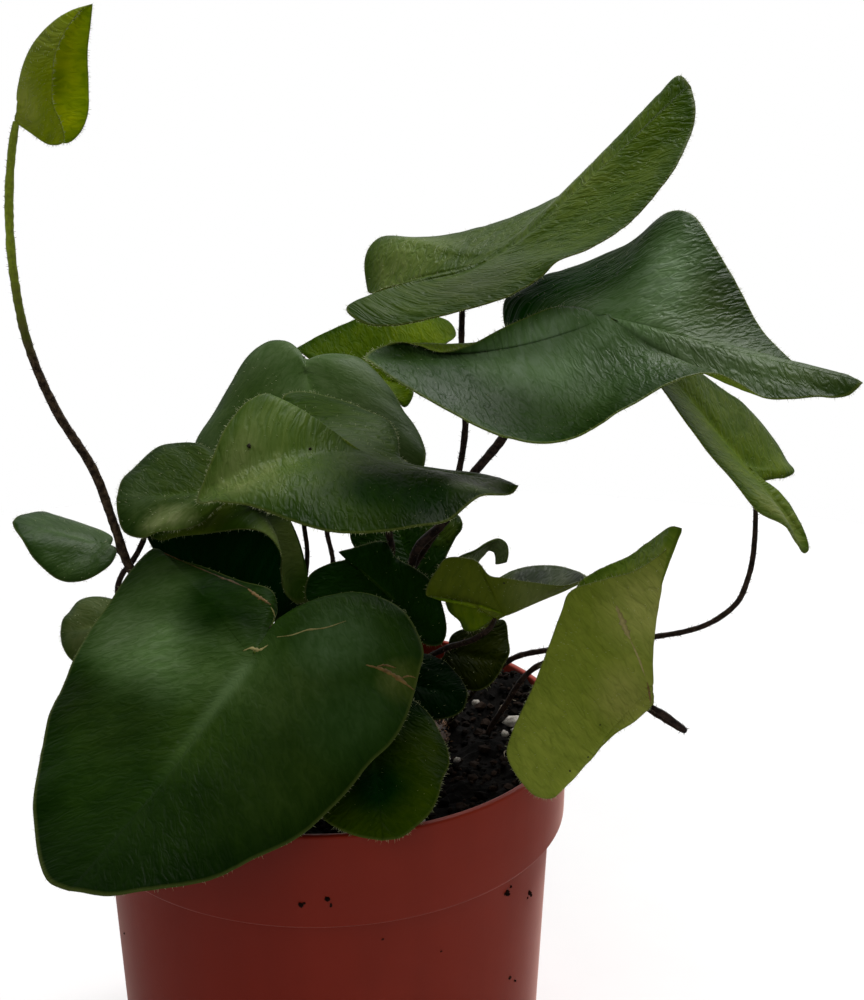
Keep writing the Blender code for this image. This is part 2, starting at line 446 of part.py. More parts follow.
def add_blade(name, frond, parent):
    grid = blade_grid(frond)
    spokes = grid.shape[1]
    points = np.vstack([grid[0, :1], grid[1:].reshape(-1, 3)])
    faces = []
    for spoke in range(spokes):
        after = (spoke + 1) % spokes
        faces.append((0, 1 + spoke, 1 + after))
        for ring in range(frond["rings"] - 1):
            inner = 1 + ring * spokes
            outer = inner + spokes
            faces.append((inner + spoke, outer + spoke, outer + after))
            faces.append((inner + spoke, outer + after, inner + after))
    colour = "blade_light" if name in LIGHT_BLADES else "blade"
    thicken(add_mesh(name + "_blade", points, faces, colour, parent))


def add_curl(parent):
    """A ribbon whose width swells and closes along its centre line."""
    centre = spline(placed(CURL["centre"]), CURL_STEPS)
    start = np.array(CURL["centre"][0])
    across = spline([place(*(start + np.array(way))) - place(*start) for way in CURL["across"]], CURL_STEPS)
    across /= np.linalg.norm(across, axis=1, keepdims=True)
    share = np.linspace(*CURL_ENDS, CURL_STEPS)
    reach = CURL["half_width"] * np.sqrt(np.sin(np.pi * share))
    edge_1 = centre - across * reach[:, None]
    edge_2 = centre + across * reach[:, None]
    points = np.vstack([edge_1, centre, edge_2])
    faces = []
    for strip in (0, CURL_STEPS):
        for step in range(strip, strip + CURL_STEPS - 1):
            faces.append((step, step + 1, step + CURL_STEPS + 1))
            faces.append((step, step + CURL_STEPS + 1, step + CURL_STEPS))
    thicken(add_mesh("curl_blade", points, faces, "blade", parent))


def stipe_route(frond):
    """Points up from the foot in the soil to just short of the joint, in millimetres."""
    east, north = frond["foot"]
    joint = place(*frond["joint"])
    last = place(*frond["stipe"][0])
    gap = frond.get("joint_gap", JOINT_GAP) + frond["width"][1] / 2
    top = joint + (last - joint) / np.linalg.norm(last - joint) * gap
    foot = [(east, north, SOIL_TOP - FOOT_DEPTH), (east, north, SOIL_TOP)]
    return spline(foot + list(placed(frond["stipe"][::-1])) + [top], frond["steps"])


def tube_curve(name, route, radii):
    """A curve object's data: a six-sided tube along the route, in millimetres."""
    curve = bpy.data.curves.new(name, "CURVE")
    curve.dimensions = "3D"
    curve.bevel_depth = MM
    curve.bevel_resolution = 1
    curve.use_fill_caps = True
    line = curve.splines.new("POLY")
    line.points.add(len(route) - 1)
    for point, place_mm, radius in zip(line.points, route, radii):
        point.co = (*(place_mm * MM), 1)
        point.radius = radius
    return curve


def stipe_radii(frond):
    foot_width, joint_width = frond["width"]
    return np.linspace(foot_width, joint_width, frond["steps"]) / 2


def add_stipe(name, frond, parent):
    curve = tube_curve(name + "_stipe", stipe_route(frond), stipe_radii(frond))
    colour = "stipe_young" if name == "young" else "stipe"
    add_object(name + "_stipe", curve, colour, parent)


def evaluated_mesh(piece):
    graph = bpy.context.evaluated_depsgraph_get()
    return bpy.data.meshes.new_from_object(piece.evaluated_get(graph))


def socket_cutter(name, frond):
    """A tube a little wider than the stipe, along its first stretch, with its end deeper."""
    route = stipe_route(frond)
    radii = stipe_radii(frond) + SOCKET_MARGIN
    run = np.concatenate([[0], np.cumsum(np.linalg.norm(np.diff(route, axis=0), axis=1))])
    kept = run < SOCKET_REACH
    route = route[kept]
    below = route[0] - np.array([0, 0, SOCKET_MARGIN])
    curve = tube_curve(name, np.vstack([below, route]), [radii[0], *radii[kept]])
    return bpy.data.objects.new(name, curve)


def add_cutter(name, mesh):
    cutter = bpy.data.objects.new(name, mesh)
    bpy.context.scene.collection.objects.link(cutter)
    cutter.hide_render = True
    cutter.display_type = "WIRE"
    return cutter


def add_sockets(stems):
    """One cutter that holds every stipe's socket."""
    together = bmesh.new()
    for name, frond in stems.items():
        socket = socket_cutter(name + "_socket", frond)
        bpy.context.scene.collection.objects.link(socket)
        bpy.context.view_layer.update()
        mesh = evaluated_mesh(socket)
        together.from_mesh(mesh)
        bpy.data.objects.remove(socket)
    bmesh.ops.remove_doubles(together, verts=together.verts, dist=1e-6)
    bmesh.ops.recalc_face_normals(together, faces=together.faces)
    mesh = bpy.data.meshes.new("sockets")
    together.to_mesh(mesh)
    together.free()
    return add_cutter("sockets", mesh)


def cut(piece, cutter, self_overlap=False):
    boolean = piece.modifiers.new(cutter.name, "BOOLEAN")
    boolean.operation = "DIFFERENCE"
    boolean.object = cutter
    boolean.use_self = self_overlap


def turned(profile, sides):
    """Points and faces of a profile, as (radius, height) from the top axis down to the bottom axis."""
    points = []
    rings = []
    for radius, height in profile:
        if radius == 0:
            rings.append([len(points)])
            points.append((0, 0, height))
            continue
        rings.append(list(range(len(points), len(points) + sides)))
        for side in range(sides):
            angle = 2 * math.pi * side / sides
            points.append((radius * math.cos(angle), radius * math.sin(angle), height))
    faces = []
    for upper, lower in zip(rings, rings[1:]):
        for side in range(sides):
            after = (side + 1) % sides
            if len(upper) == 1:
                faces.append((upper[0], lower[side], lower[after]))
            elif len(lower) == 1:
                faces.append((upper[side], lower[0], upper[after]))
            else:
                faces.append((upper[side], lower[side], lower[after], upper[after]))
    return points, faces


def pot_profile():
    """From the inside of the floor up the inner wall, over the lip and down the outside."""
    ledge = POT_HEIGHT - RIM_DEPTH
    body_inner = BODY_RADIUS - WALL
    rim_inner = RIM_RADIUS - WALL
    return [
        (0, FLOOR),
        (BASE_RADIUS - WALL - BASE_ROUND, FLOOR),
        (BASE_RADIUS - WALL, FLOOR + BASE_ROUND),
        (body_inner, ledge - WALL),
        (rim_inner - RIM_TAPER, ledge + WALL),
        (rim_inner, POT_HEIGHT - LIP_ROUND),
        (rim_inner + LIP_ROUND, POT_HEIGHT),
        (RIM_RADIUS - LIP_ROUND, POT_HEIGHT),
        (RIM_RADIUS, POT_HEIGHT - LIP_ROUND),
        (RIM_RADIUS - RIM_TAPER, ledge + LIP_ROUND),
        (RIM_RADIUS - RIM_TAPER - LIP_ROUND, ledge),
        (BODY_RADIUS + LIP_ROUND, ledge),
        (BODY_RADIUS, ledge - LIP_ROUND),
        (BASE_RADIUS, BASE_ROUND),
        (BASE_RADIUS - BASE_ROUND, 0),
        (0, 0),
    ]


def add_pot(parent):
    points, faces = turned(pot_profile(), SIDES)
    pot = add_mesh("pot", points, faces, "pot", parent)
    pot.data.set_sharp_from_angle(angle=math.radians(35))
    drains = bmesh.new()
    for hole in range(DRAIN_COUNT):
        angle = 2 * math.pi * (hole + 0.5) / DRAIN_COUNT
        made = bmesh.ops.create_cone(
            drains, cap_ends=True, segments=12, radius1=DRAIN_RADIUS * MM,
            radius2=DRAIN_RADIUS * MM, depth=4 * FLOOR * MM)
        move = Vector((math.cos(angle), math.sin(angle), 0)) * DRAIN_CIRCLE * MM
        bmesh.ops.translate(drains, verts=made["verts"], vec=move)
    mesh = bpy.data.meshes.new("drains")
    drains.to_mesh(mesh)
    drains.free()
    cut(pot, add_cutter("drains", mesh))


def soil_height(east, north):
    """Height of the soil's top over a point, with lumps that fade out towards the wall."""
    fade = max(0.0, 1 - (math.hypot(east, north) / (RIM_RADIUS - WALL)) ** 6)
    lumps = math.sin(0.31 * east + 1.3) * math.sin(0.27 * north + 0.4)
    lumps += 0.6 * math.sin(0.62 * east - 0.51 * north) + 0.4 * math.sin(0.83 * north + 0.9)
    return SOIL_TOP + SOIL_LUMP * fade * lumps


def add_soil(parent):
    ledge = POT_HEIGHT - RIM_DEPTH
    top_radius = RIM_RADIUS - WALL - RIM_TAPER - CLEARANCE
    body_radius = BODY_RADIUS - WALL - CLEARANCE
    base_radius = BASE_RADIUS - WALL - CLEARANCE
    profile = [(0, SOIL_TOP)]
    for ring in range(1, SOIL_RINGS + 1):
        profile.append((top_radius * ring / SOIL_RINGS, SOIL_TOP))
    profile += [
        (top_radius, ledge + WALL + 2 * CLEARANCE),
        (body_radius, ledge - WALL + 2 * CLEARANCE),
        (base_radius, FLOOR + BASE_ROUND + 2 * CLEARANCE),
        (base_radius - BASE_ROUND - CLEARANCE, FLOOR + CLEARANCE),
        (0, FLOOR + CLEARANCE),
    ]
    points, faces = turned(profile, SIDES)
    top_count = 1 + SOIL_RINGS * SIDES
    for index in range(top_count):
        east, north, _ = points[index]
        points[index] = (east, north, soil_height(east, north))
    return add_mesh("soil", points, faces, "soil", parent)


def rhizome_mesh(margin):
    """Points and faces of the rhizome's body, swollen by margin."""
    line = [(east, north, SOIL_TOP - RHIZOME_SINK) for east, north in RHIZOME_LINE]
    centre = spline(line, RHIZOME_STEPS)
    draw = random.Random(7)
    knob = [1 + RHIZOME_KNOB * draw.uniform(-1, 1) for _ in range(RHIZOME_STEPS)]
    points = []
    for step, middle in enumerate(centre):
        share = step / (RHIZOME_STEPS - 1)
        swell = math.sqrt(max(1 - (2 * share - 1) ** 4, 0.1)) * knob[step]
        for side in range(RHIZOME_SIDES):
            angle = 2 * math.pi * side / RHIZOME_SIDES
            width = RHIZOME_HALF_WIDTH * swell + margin
            height = RHIZOME_HALF_HEIGHT * swell + margin
            offset = (0, width * math.cos(angle), height * math.sin(angle))
            points.append(middle + np.array(offset))
    nose = np.array([RHIZOME_NOSE + margin, 0, 0])
    points.append(centre[0] - nose)
    points.append(centre[-1] + nose)
    faces = []
    last = (RHIZOME_STEPS - 1) * RHIZOME_SIDES
    for side in range(RHIZOME_SIDES):
        after = (side + 1) % RHIZOME_SIDES
        for ring in range(0, last, RHIZOME_SIDES):
            faces.append((ring + side, ring + after, ring + RHIZOME_SIDES + after,
                          ring + RHIZOME_SIDES + side))
        faces.append((len(points) - 2, after, side))
        faces.append((len(points) - 1, last + side, last + after))
    return points, faces


def main():
    for piece in list(bpy.data.objects):
        bpy.data.objects.remove(piece)
    plant = bpy.data.objects.new("heart_fern", None)
    bpy.context.scene.collection.objects.link(plant)
    stems = {**FRONDS, "curl": CURL}
    for name, frond in FRONDS.items():
        add_blade(name, frond, plant)
    add_curl(plant)
    for name, frond in stems.items():
        add_stipe(name, frond, plant)
    add_pot(plant)
    sockets = add_sockets(stems)
    rhizome = add_mesh("rhizome", *rhizome_mesh(0), "rhizome", plant)
    cut(rhizome, sockets, self_overlap=True)
    soil = add_soil(plant)
    cut(soil, add_cutter("trough", mesh_of("trough", *rhizome_mesh(TROUGH_MARGIN))))
    cut(soil, sockets, self_overlap=True)


main()
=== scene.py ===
"""A heart fern in its nursery pot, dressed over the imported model.

Every blade and stipe is drawn again from the same places as the model's own, much finer, with its
ridges, hairs and marks. Lengths are in millimetres until a mesh is made. A place on the drawing
is (across, up, near), as in the part: on a sheet that stands SHEET_REACH from the eye.
"""

import math

import bmesh
import bpy
import numpy as np
from mathutils import Matrix, Vector
from mathutils.bvhtree import BVHTree


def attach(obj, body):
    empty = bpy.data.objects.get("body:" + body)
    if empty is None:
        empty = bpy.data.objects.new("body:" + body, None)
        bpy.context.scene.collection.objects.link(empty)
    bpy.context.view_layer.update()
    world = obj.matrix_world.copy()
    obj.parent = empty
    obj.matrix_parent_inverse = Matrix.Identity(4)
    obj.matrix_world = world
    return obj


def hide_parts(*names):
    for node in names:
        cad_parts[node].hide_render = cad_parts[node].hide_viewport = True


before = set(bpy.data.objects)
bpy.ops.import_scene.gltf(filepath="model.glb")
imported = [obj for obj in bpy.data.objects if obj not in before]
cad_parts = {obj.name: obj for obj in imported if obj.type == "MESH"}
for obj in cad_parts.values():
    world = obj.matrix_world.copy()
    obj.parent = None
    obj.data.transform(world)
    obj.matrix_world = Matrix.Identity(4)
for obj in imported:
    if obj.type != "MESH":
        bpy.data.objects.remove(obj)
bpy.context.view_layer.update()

MM = 0.001
FULL_TURN = 2 * math.pi
GOLDEN = (1 + math.sqrt(5)) / 2

# Pot, in millimetres
POT_HEIGHT = 78.0
RIM_RADIUS = 45.0
RIM_DEPTH = 17.0
RIM_TAPER = 0.25
BODY_RADIUS = 42.1
BASE_RADIUS = 39.6
BASE_ROUND = 0.9
WALL = 1.3
FLOOR = 1.6
POT_SIDES = 180
DRAIN_RADIUS = 3.0
DRAIN_CIRCLE = 24.0
DRAIN_COUNT = 6
SHARP_EDGE = math.radians(50)
FLOOR_RINGS = (16, 30)
LONG_WALL = 8
WALL_STEP = 5
DIRT_CRUMBS = 30
DIRT_HEIGHTS = (6, 76)
DIRT_SIZE = (0.35, 0.9)
DIRT_SPOT_SHARE = (0.35, 0.75)
DIRT_SPREAD = 0.22
# Loose dirt sticks to the east, the north and the west of the pot; it is cast on from outside
DIRT_UP_TO = 1.15 * math.pi
DIRT_FROM = 80

# Soil, in millimetres. The reaches are from the pot's axis, and root hairs are given by their
# radius at either end; none lies on the soil nearest the camera, south of BARE_SOIL_NORTH.
CLEARANCE = 0.3
SOIL_TOP = 74.0
SOIL_LUMP = 0.9
SOIL_SIDES = 140
SOIL_RINGS = 46
HEAP_PLACE = (39.5, 18.0)
HEAP_REACH = 6.0
HEAP_HEIGHT = 4.4
SOIL_SINK = 0.35
SOIL_ROUGH = (-0.45, 0.35)
SOIL_SHIFT = 0.25
CRUMBS = 1900
CRUMB_REACH = 43.0
CRUMB_SIZE, CRUMB_SIZE_MORE = 0.7, 1.9
CRUMB_SINK = 0.1
CRUMB_RISE = (-0.2, 0.35)
PERLITE_GRAINS = 22
PERLITE_REACH = 41
PERLITE_SIZE = (0.8, 2.2)
PERLITE_RISE = 0.25
ROOT_TRIES = 18
ROOT_REACH = 39
ROOT_POINTS = 5
ROOT_STEP = 1.9
ROOT_RISE = (0.1, 0.8)
ROOT_TURN = 0.7
ROOT_PARTS, ROOT_SIDES = 14, 5
SEEN_ROOT_PARTS, SEEN_ROOT_SIDES = 22, 6
ROOT_RADII = (0.12, 0.06)
SEEN_ROOT_RADII = (0.14, 0.07)
SOIL_REACH = 42.0
BARE_SOIL_NORTH = -16

# Fronds, in millimetres
BLADE_THICK = 0.6
EDGE_OUT = 0.13
MARGIN_STEP = 7.0
HUB_SHARE = 0.12
VEIN_LEAN = 0.7
STIPE_STEP = 0.8
STIPE_SIDES = 10
STIPE_BURIED = 6
STIPE_UNEVEN, STIPE_KNOBS = 0.07, 0.05
# Just before the joint a stipe gets thinner by a share of its width
STIPE_END, STIPE_END_THINNING = 0.97, 0.25
HAIR_RADIUS = 0.032
MARGIN_HAIR = (0.25, 0.85)
FACE_HAIR = (0.25, 0.6)
CURL_HAIR = (0.25, 0.7)
STIPE_HAIR = (0.25, 0.8)
HAIRS_PER_MM, YOUNG_HAIRS_PER_MM = 4.0, 5.0
STIPE_HAIRS_FROM = 8
STIPE_HAIR_LEAN = (0.2, 0.9)
STIPE_HAIR_RADII = (0.03, 0.09)

# Relief of the blades, in millimetres: the midrib's groove, the height and length of the margin's
# waves, and the length of the patches of ridges. Puckers are given as a share of the ridges.
RIB_DEPTH = 0.22
WAVE_HEIGHT = 0.30
WAVE_LENGTH = 11
PATCH_LENGTH = 16
PUCKER_SHARE = 1.6
# Ridges are noise in cells of these lengths and widths: fine ones, wider ones over them at a share
# of their height, both bent by a wider noise, and lower in some patches than in others
FINE_RIDGES, WIDE_RIDGES, RIDGE_BENDS = (1.5, 2.1), (2.9, 4.4), (4.0, 3.0)
WIDE_SHARE = 0.8
BEND_BY = 1.3
PATCH_BASE, PATCH_MORE = 0.65, 0.35
RELIEF_STARTS = (0.02, 0.3)
# Towards its rim a blade gets thinner, by a share of its thickness
RIM_THINNING, RIM_STARTS = 0.55, 0.86
CURL_THINNING, CURL_DISH = 0.7, 0.5
# So far apart that the ridges of a blade's two sides don't repeat each other
SIDES_APART = 400

# The rhizome, in millimetres: its line (east, north) across the crown
RHIZOME_LINE = [(-24, 2.5), (-12, 1.5), (0, 0.5), (12, 0.0), (25, 1.0)]
RHIZOME_HALF_WIDTH = 5.6
RHIZOME_HALF_HEIGHT = 3.4
RHIZOME_SINK = 1.2
RHIZOME_STEPS = 90
RHIZOME_SIDES = 40
RHIZOME_SCALES = 620
RHIZOME_SCALE_LENGTH = (0.8, 2.0)
RHIZOME_SCALE_RADII = (0.12, 0.3)
RHIZOME_END = (0.8, 0, 0)
# Its bulges: how far they swell it, their number round it and along it, and their seed
RHIZOME_BULGES = ((0.10, 7, 12, 51), (0.07, 20, 40, 52))

# The drawing
SHEET_REACH = 300.0
EYE_BACK = 260.8
EYE_ABOVE_RIM = 121.0
EYE = np.array([0.0, -EYE_BACK, POT_HEIGHT + EYE_ABOVE_RIM])
LOOK_DOWN = math.radians(16.7)
LOOK_RIGHT = math.radians(4.3)
LENS = 54.0
SENSOR_HEIGHT = 36.0
PICTURE_CENTRE = (432.0, 500.0)
PIXELS_PER_MM = 5.0

FORWARD = np.array([
    math.sin(LOOK_RIGHT) * math.cos(LOOK_DOWN),
    math.cos(LOOK_RIGHT) * math.cos(LOOK_DOWN),
    -math.sin(LOOK_DOWN),
])
ACROSS = np.array([math.cos(LOOK_RIGHT), -math.sin(LOOK_RIGHT), 0.0])
UPWARD = np.cross(ACROSS, FORWARD)

# Each frond: the joint of stipe and blade, the tip, and the margin on either side between them,
# anticlockwise as seen from above the blade. rib_bow moves the middle of the midrib, bulge arches
# each half, foot is where the stipe enters the soil (east, north of the pot's axis), width is the
# stipe's at the foot and at the joint, and stipe is its route down from the joint.
FRONDS = {
    # The tall young frond on the left, still half folded
    "young": dict(
        joint=(-83.2, 75.6, 40), tip=(-68, 99.2, 40), rib_bow=(-3, 2.7, 0), bulge=(0, 0),
        side_1=[(-80, 74.4, 39), (-76.4, 72.4, 37.5), (-73, 71.5, 37), (-70.6, 73.4, 36.5), (-69, 77, 36),
            (-68.8, 82.4, 35.5), (-69, 89.6, 36.5), (-68.4, 95.2, 38.5)],
        side_2=[(-80.6, 73.8, 41), (-76.4, 71.2, 43), (-73.4, 72, 46), (-74, 75.6, 47), (-75.6, 79.2, 47),
            (-76, 84.2, 46.5), (-75.2, 89, 45), (-73, 94.2, 43), (-69.8, 98.4, 41)],
        foot=(-14, 2.2), width=(1.9, 1.5),
        stipe=[(-83.9, 71, 39.5), (-84.6, 60, 39), (-83.8, 46.2, 37), (-80.8, 31.2, 34), (-75.1, 17.8, 30),
            (-67.7, 6, 26), (-63.5, -5.2, 22.5), (-60.4, -13.6, 20), (-52, -25, 16)]),
    # The small low frond on the far left
    "left_low": dict(
        joint=(-64.4, -9.2, 14), tip=(-83.8, -4.4, 18), bulge=(0.5, 0.5),
        side_1=[(-64, -7.4, 11), (-68.6, -5.2, 8), (-75.6, -3, 7.5), (-79.2, -2.6, 10), (-82.4, -3.2, 14)],
        side_2=[(-63.2, -9.8, 15.5), (-64.2, -12.6, 18), (-66.6, -14.6, 20), (-69.4, -15.9, 21),
            (-72.4, -16.2, 22), (-75.4, -15.4, 22), (-79, -12.2, 22), (-81.6, -8.6, 21),
            (-83.4, -5.6, 19)],
        foot=(-17.5, 4.5), width=(1, 0.8),
        stipe=[(-62.2, -10.8, 12), (-60, -15, 11), (-55, -25, 11)]),
    # The highest big frond, its tip raised to the right
    "top": dict(
        joint=(6, 43.6, 36), tip=(51.6, 82.8, 36), rib_bow=(0, -1, 0), bulge=(1, 0.5),
        side_1=[(1.6, 43, 38), (-6.2, 41.6, 42), (-12.6, 40.4, 46), (-16.1, 39.2, 48), (-17, 38, 50),
            (-15, 36.2, 52), (-11.8, 35, 53), (-4, 35.4, 54), (5.2, 37.8, 55), (14.8, 40.8, 55),
            (21.6, 44.8, 54), (24.6, 47.8, 54), (30.6, 50, 53), (35.2, 52.2, 52), (40.4, 56.4, 50),
            (45, 61.4, 48), (48.4, 66, 46), (51.2, 72.2, 42), (52.6, 78, 39)],
        side_2=[(-0.4, 44, 33), (-8, 42.6, 28), (-12.6, 41.6, 24), (-13.3, 46.2, 21), (-12.3, 50.4, 19),
            (-10, 52.4, 18), (-4, 52.5, 18), (1.6, 52.7, 18), (8.2, 54, 18), (15.4, 56.2, 18.5),
            (22.2, 59.1, 19), (27.5, 61.9, 20), (32.8, 66.5, 21.5), (37.8, 72.2, 24), (42.9, 77.8, 28),
            (47.4, 82.7, 32), (49.6, 84.8, 34)],
        foot=(6.2, 1.6), width=(1.4, 1.1),
        stipe=[(6, 37.4, 35.5), (5.9, 31, 35), (6.7, 15.4, 32), (5.2, 5, 30), (2.2, -4.2, 26.5),
            (-1.6, -10, 24.5), (-5, -16, 22)]),
    # The big dark frond on the upper right, folded like a saddle
    "upper_right": dict(
        joint=(28.6, 38.4, 45), tip=(86, 23.2, 60), bulge=(-3.2, 1),
        side_1=[(24.6, 38.4, 47), (19.6, 36.6, 49), (14.4, 34.4, 51), (7, 30.6, 54), (1.6, 29.4, 55),
            (-3, 30.8, 54), (-7.8, 31.2, 54), (-11, 30.2, 55), (-13.4, 28.4, 59), (-12, 27.4, 62),
            (-6.4, 23.6, 64), (-1, 20.6, 65), (5, 17.2, 66), (9.6, 14.6, 67), (15, 12.3, 68),
            (21.6, 11, 68), (28.4, 12.1, 67), (33.8, 15.1, 66), (39, 18.6, 64), (45, 22, 62),
            (51.2, 24.6, 60), (54.6, 25.4, 59), (57.8, 25.1, 58.5), (61.8, 23.1, 59), (66.4, 20.6, 60),
            (71.2, 20, 60.5), (77.2, 20.7, 61), (83.2, 20.9, 60.5)],
        side_2=[(25, 37.6, 42), (19.6, 35.6, 37), (15, 34.2, 33), (14.2, 36.6, 31), (14.8, 40.4, 29),
            (18.6, 42.8, 27), (22, 44.6, 26), (28.4, 46.4, 26), (35, 49, 27), (40.4, 52, 29), (45, 56, 32),
            (47.4, 57.4, 34), (49.8, 57.6, 36), (52.2, 56.6, 38), (54.2, 54, 40), (57.2, 49.4, 42),
            (60.4, 44, 44), (64.4, 36.6, 47), (67.2, 32.6, 49), (71.2, 28.5, 52), (75.2, 25.7, 54),
            (81.8, 24.9, 57.5)],
        foot=(13.5, -1.6), width=(1.8, 1.5),
        stipe=[(24, 30, 43), (14.3, 12.6, 40), (8.1, 5, 36), (2.4, -4.4, 31.5), (-2.4, -9, 29),
            (-4, -12.6, 27.5)]),
    # The frond in the middle, its near lobe spread to the left
    "middle": dict(
        joint=(-16.4, 9.6, 50), tip=(17.1, 3, 66), bulge=(2.5, -1),
        side_1=[(-20.4, 10.4, 51), (-26.4, 14.2, 52), (-30.2, 18.8, 53), (-32.8, 21, 54),
            (-36.8, 19.6, 56), (-39.6, 16.6, 58), (-41.8, 13.2, 60), (-43.6, 8.8, 62), (-45.4, 4.2, 64),
            (-46.9, -0.4, 66), (-42.6, -0.6, 69), (-33.8, -1.8, 72), (-24.6, -5.4, 74), (-18.2, -6.4, 75),
            (-11.4, -6.2, 75.5), (-4.4, -5.6, 76), (2.4, -4.2, 75), (9.6, 1, 71.5), (16, 1.6, 67)],
        side_2=[(-19.4, 10.2, 46), (-25, 14.2, 42), (-29.4, 17.4, 40), (-29.6, 20.6, 38),
            (-25.4, 21.6, 36), (-20.4, 20.6, 35), (-16.2, 19.2, 35), (-12.6, 17.8, 36), (-9.4, 16.4, 37.5),
            (-7.8, 14.6, 39), (-6.8, 11.8, 42), (-6.4, 8.8, 45), (-4.4, 7.4, 48), (-0.4, 6.4, 51),
            (5.6, 5.1, 55), (9.4, 4.6, 58), (14, 4.3, 62)],
        foot=(-3.5, -1.2), width=(1.5, 1.2),
        stipe=[(-16.6, 4.6, 48.5), (-14, 0, 41), (-8.9, -3, 33), (-8.6, -6.6, 29.5), (-8.2, -12, 26.5)]),
    # The round frond at the left, under the middle one
    "left": dict(
        joint=(-39.4, 2, 24), tip=(-63, 0.2, 24), bulge=(0.6, 1.5),
        side_1=[(-38.6, 6, 20), (-43.8, 9.8, 16), (-46.8, 11, 14), (-51.6, 11.2, 12), (-54.8, 10.6, 13),
            (-58.8, 7.4, 16), (-61.8, 4, 20)],
        side_2=[(-40.4, 0.4, 26), (-43.6, -2, 28), (-46, -4.4, 29), (-50.2, -5.9, 30), (-54.6, -6.2, 30),
            (-58.4, -7.4, 29.5), (-61.6, -6.2, 28), (-62.8, -2.6, 26)],
        foot=(-10.5, 3), width=(1, 0.9),
        stipe=[(-33, -1.8, 20), (-26.4, -3.2, 16.5), (-25.4, -6.6, 14.5), (-25, -12.6, 13)]),
    # The frond that hangs at the right on a long arching stipe
    "right_hanging": dict(
        joint=(65.2, 3.6, 40), tip=(44, 29.6, 42), bulge=(0.6, 0.6),
        side_1=[(68.6, 4.4, 37), (70.8, 4.6, 35), (72.4, 5.8, 33), (71, 7.6, 31), (69.4, 10.4, 30),
            (67.4, 13.4, 30), (64.8, 16.6, 30), (61.6, 19.4, 31), (58, 21.8, 32), (53.8, 25, 34),
            (49.6, 28.4, 37)],
        side_2=[(68.6, 1.8, 41), (71, -0.6, 42), (73, -3.8, 43.5), (74.6, -7, 45), (75.1, -10, 46),
            (74, -10.6, 47), (71.4, -5.4, 49), (66, -2.4, 51), (63.6, -0.2, 51), (58.8, 5.6, 51),
            (53.8, 11.2, 50), (49.8, 16.6, 49), (46.2, 22.2, 47), (43.6, 27, 44)],
        foot=(22.5, 1.8), width=(1.2, 0.9),
        stipe=[(64.8, -1, 38.5), (64.6, -6.6, 37), (64.1, -12, 36), (63.1, -16, 35), (61.4, -20, 34),
            (58.8, -22.6, 33), (55, -24.9, 31.5), (50.6, -26.3, 30), (44, -27.4, 28), (33.6, -28.8, 25),
            (23.2, -30, 22), (15.2, -32.2, 18.5)]),
    # A small frond behind the front one's left edge
    "left_small": dict(
        joint=(-62.8, -24.4, 10), tip=(-74.2, -26.8, 12), bulge=(0.3, 0.3),
        side_1=[(-61.8, -21.6, 7), (-64.2, -19.8, 5), (-67.4, -19.4, 4), (-70.4, -20, 5), (-72.4, -22, 7),
            (-73.8, -24.4, 9.5)],
        side_2=[(-61.8, -27.4, 12), (-65.4, -31.4, 15), (-69.4, -33, 16), (-72.2, -31.8, 16),
            (-73.8, -29.2, 14.5)],
        foot=(-21, 2), width=(0.9, 0.8),
        stipe=[(-60, -25.4, 10), (-52, -31, 10)]),
    # The largest frond, which hangs over the rim at the front left
    "front": dict(
        joint=(-32, -25.6, 38), tip=(-72.6, -78.2, 73), rib_bow=(1, -1, 0), bulge=(1.5, 2),
        side_1=[(-31.2, -22.4, 33), (-32, -18.4, 31.5), (-38.4, -16.4, 29), (-46.4, -13.4, 26.5),
            (-52, -11.6, 25), (-55.4, -9.6, 24), (-58.8, -12.4, 25.5), (-64.8, -21.4, 30),
            (-69, -26.8, 34), (-73.4, -36.4, 41), (-76, -41.8, 45), (-78.6, -52.4, 53), (-79.4, -59, 58),
            (-79.6, -63.2, 61), (-78.4, -72.4, 68), (-76.4, -76.4, 71.5)],
        side_2=[(-30.4, -23.6, 36.5), (-27.2, -21.4, 35.5), (-23.4, -20, 35), (-19.2, -19, 35),
            (-15, -18.4, 35.5), (-10, -19.8, 37.5), (-5.8, -22.4, 40), (-3.2, -26.2, 42.5),
            (-1.8, -30.6, 45.5), (-2.6, -34.2, 48), (-5.2, -43.4, 54), (-8, -48.2, 57.5),
            (-12.4, -52.6, 60), (-16.6, -57.8, 63), (-20.8, -62.2, 65.5), (-26.2, -67, 68),
            (-36.8, -72.4, 71), (-45, -76, 73), (-55.6, -78, 74.5), (-64.8, -78.9, 75)],
        foot=(-8, -1), width=(1.8, 1.5),
        stipe=[(-31, -29, 32.4), (-25, -36, 23)]),
    # The frond at the front right, folded shut, with its underside to the front
    "right_front": dict(
        joint=(44, -41.4, 52), tip=(50, -5.9, 50), rib_bow=(-2, 0, 2), bulge=(1, 0),
        side_1=[(40.4, -44.3, 52.5), (36.6, -46.6, 52), (33.2, -49.6, 51), (30.6, -53, 50.5),
            (27.2, -56.8, 50.5), (24.2, -59.5, 51), (20.6, -59, 50), (18.4, -56.8, 49), (15.8, -53, 48),
            (15, -50.4, 47.5), (16, -46.8, 47), (19.6, -38.8, 47), (23, -30.4, 48), (26, -22.4, 49),
            (27.2, -19, 49), (29, -17.6, 49.5), (31.4, -16.8, 50), (35.6, -15.6, 51), (40, -14.4, 52),
            (45, -11.4, 52), (48, -9, 51)],
        side_2=[(42, -42, 50), (38, -44, 46), (33, -46, 43), (29, -44, 40), (26.5, -38, 38), (26, -30, 37),
            (27.4, -22, 37), (29.4, -16.8, 38), (32.4, -14.8, 39), (35.6, -13, 40.5), (39.4, -11, 42),
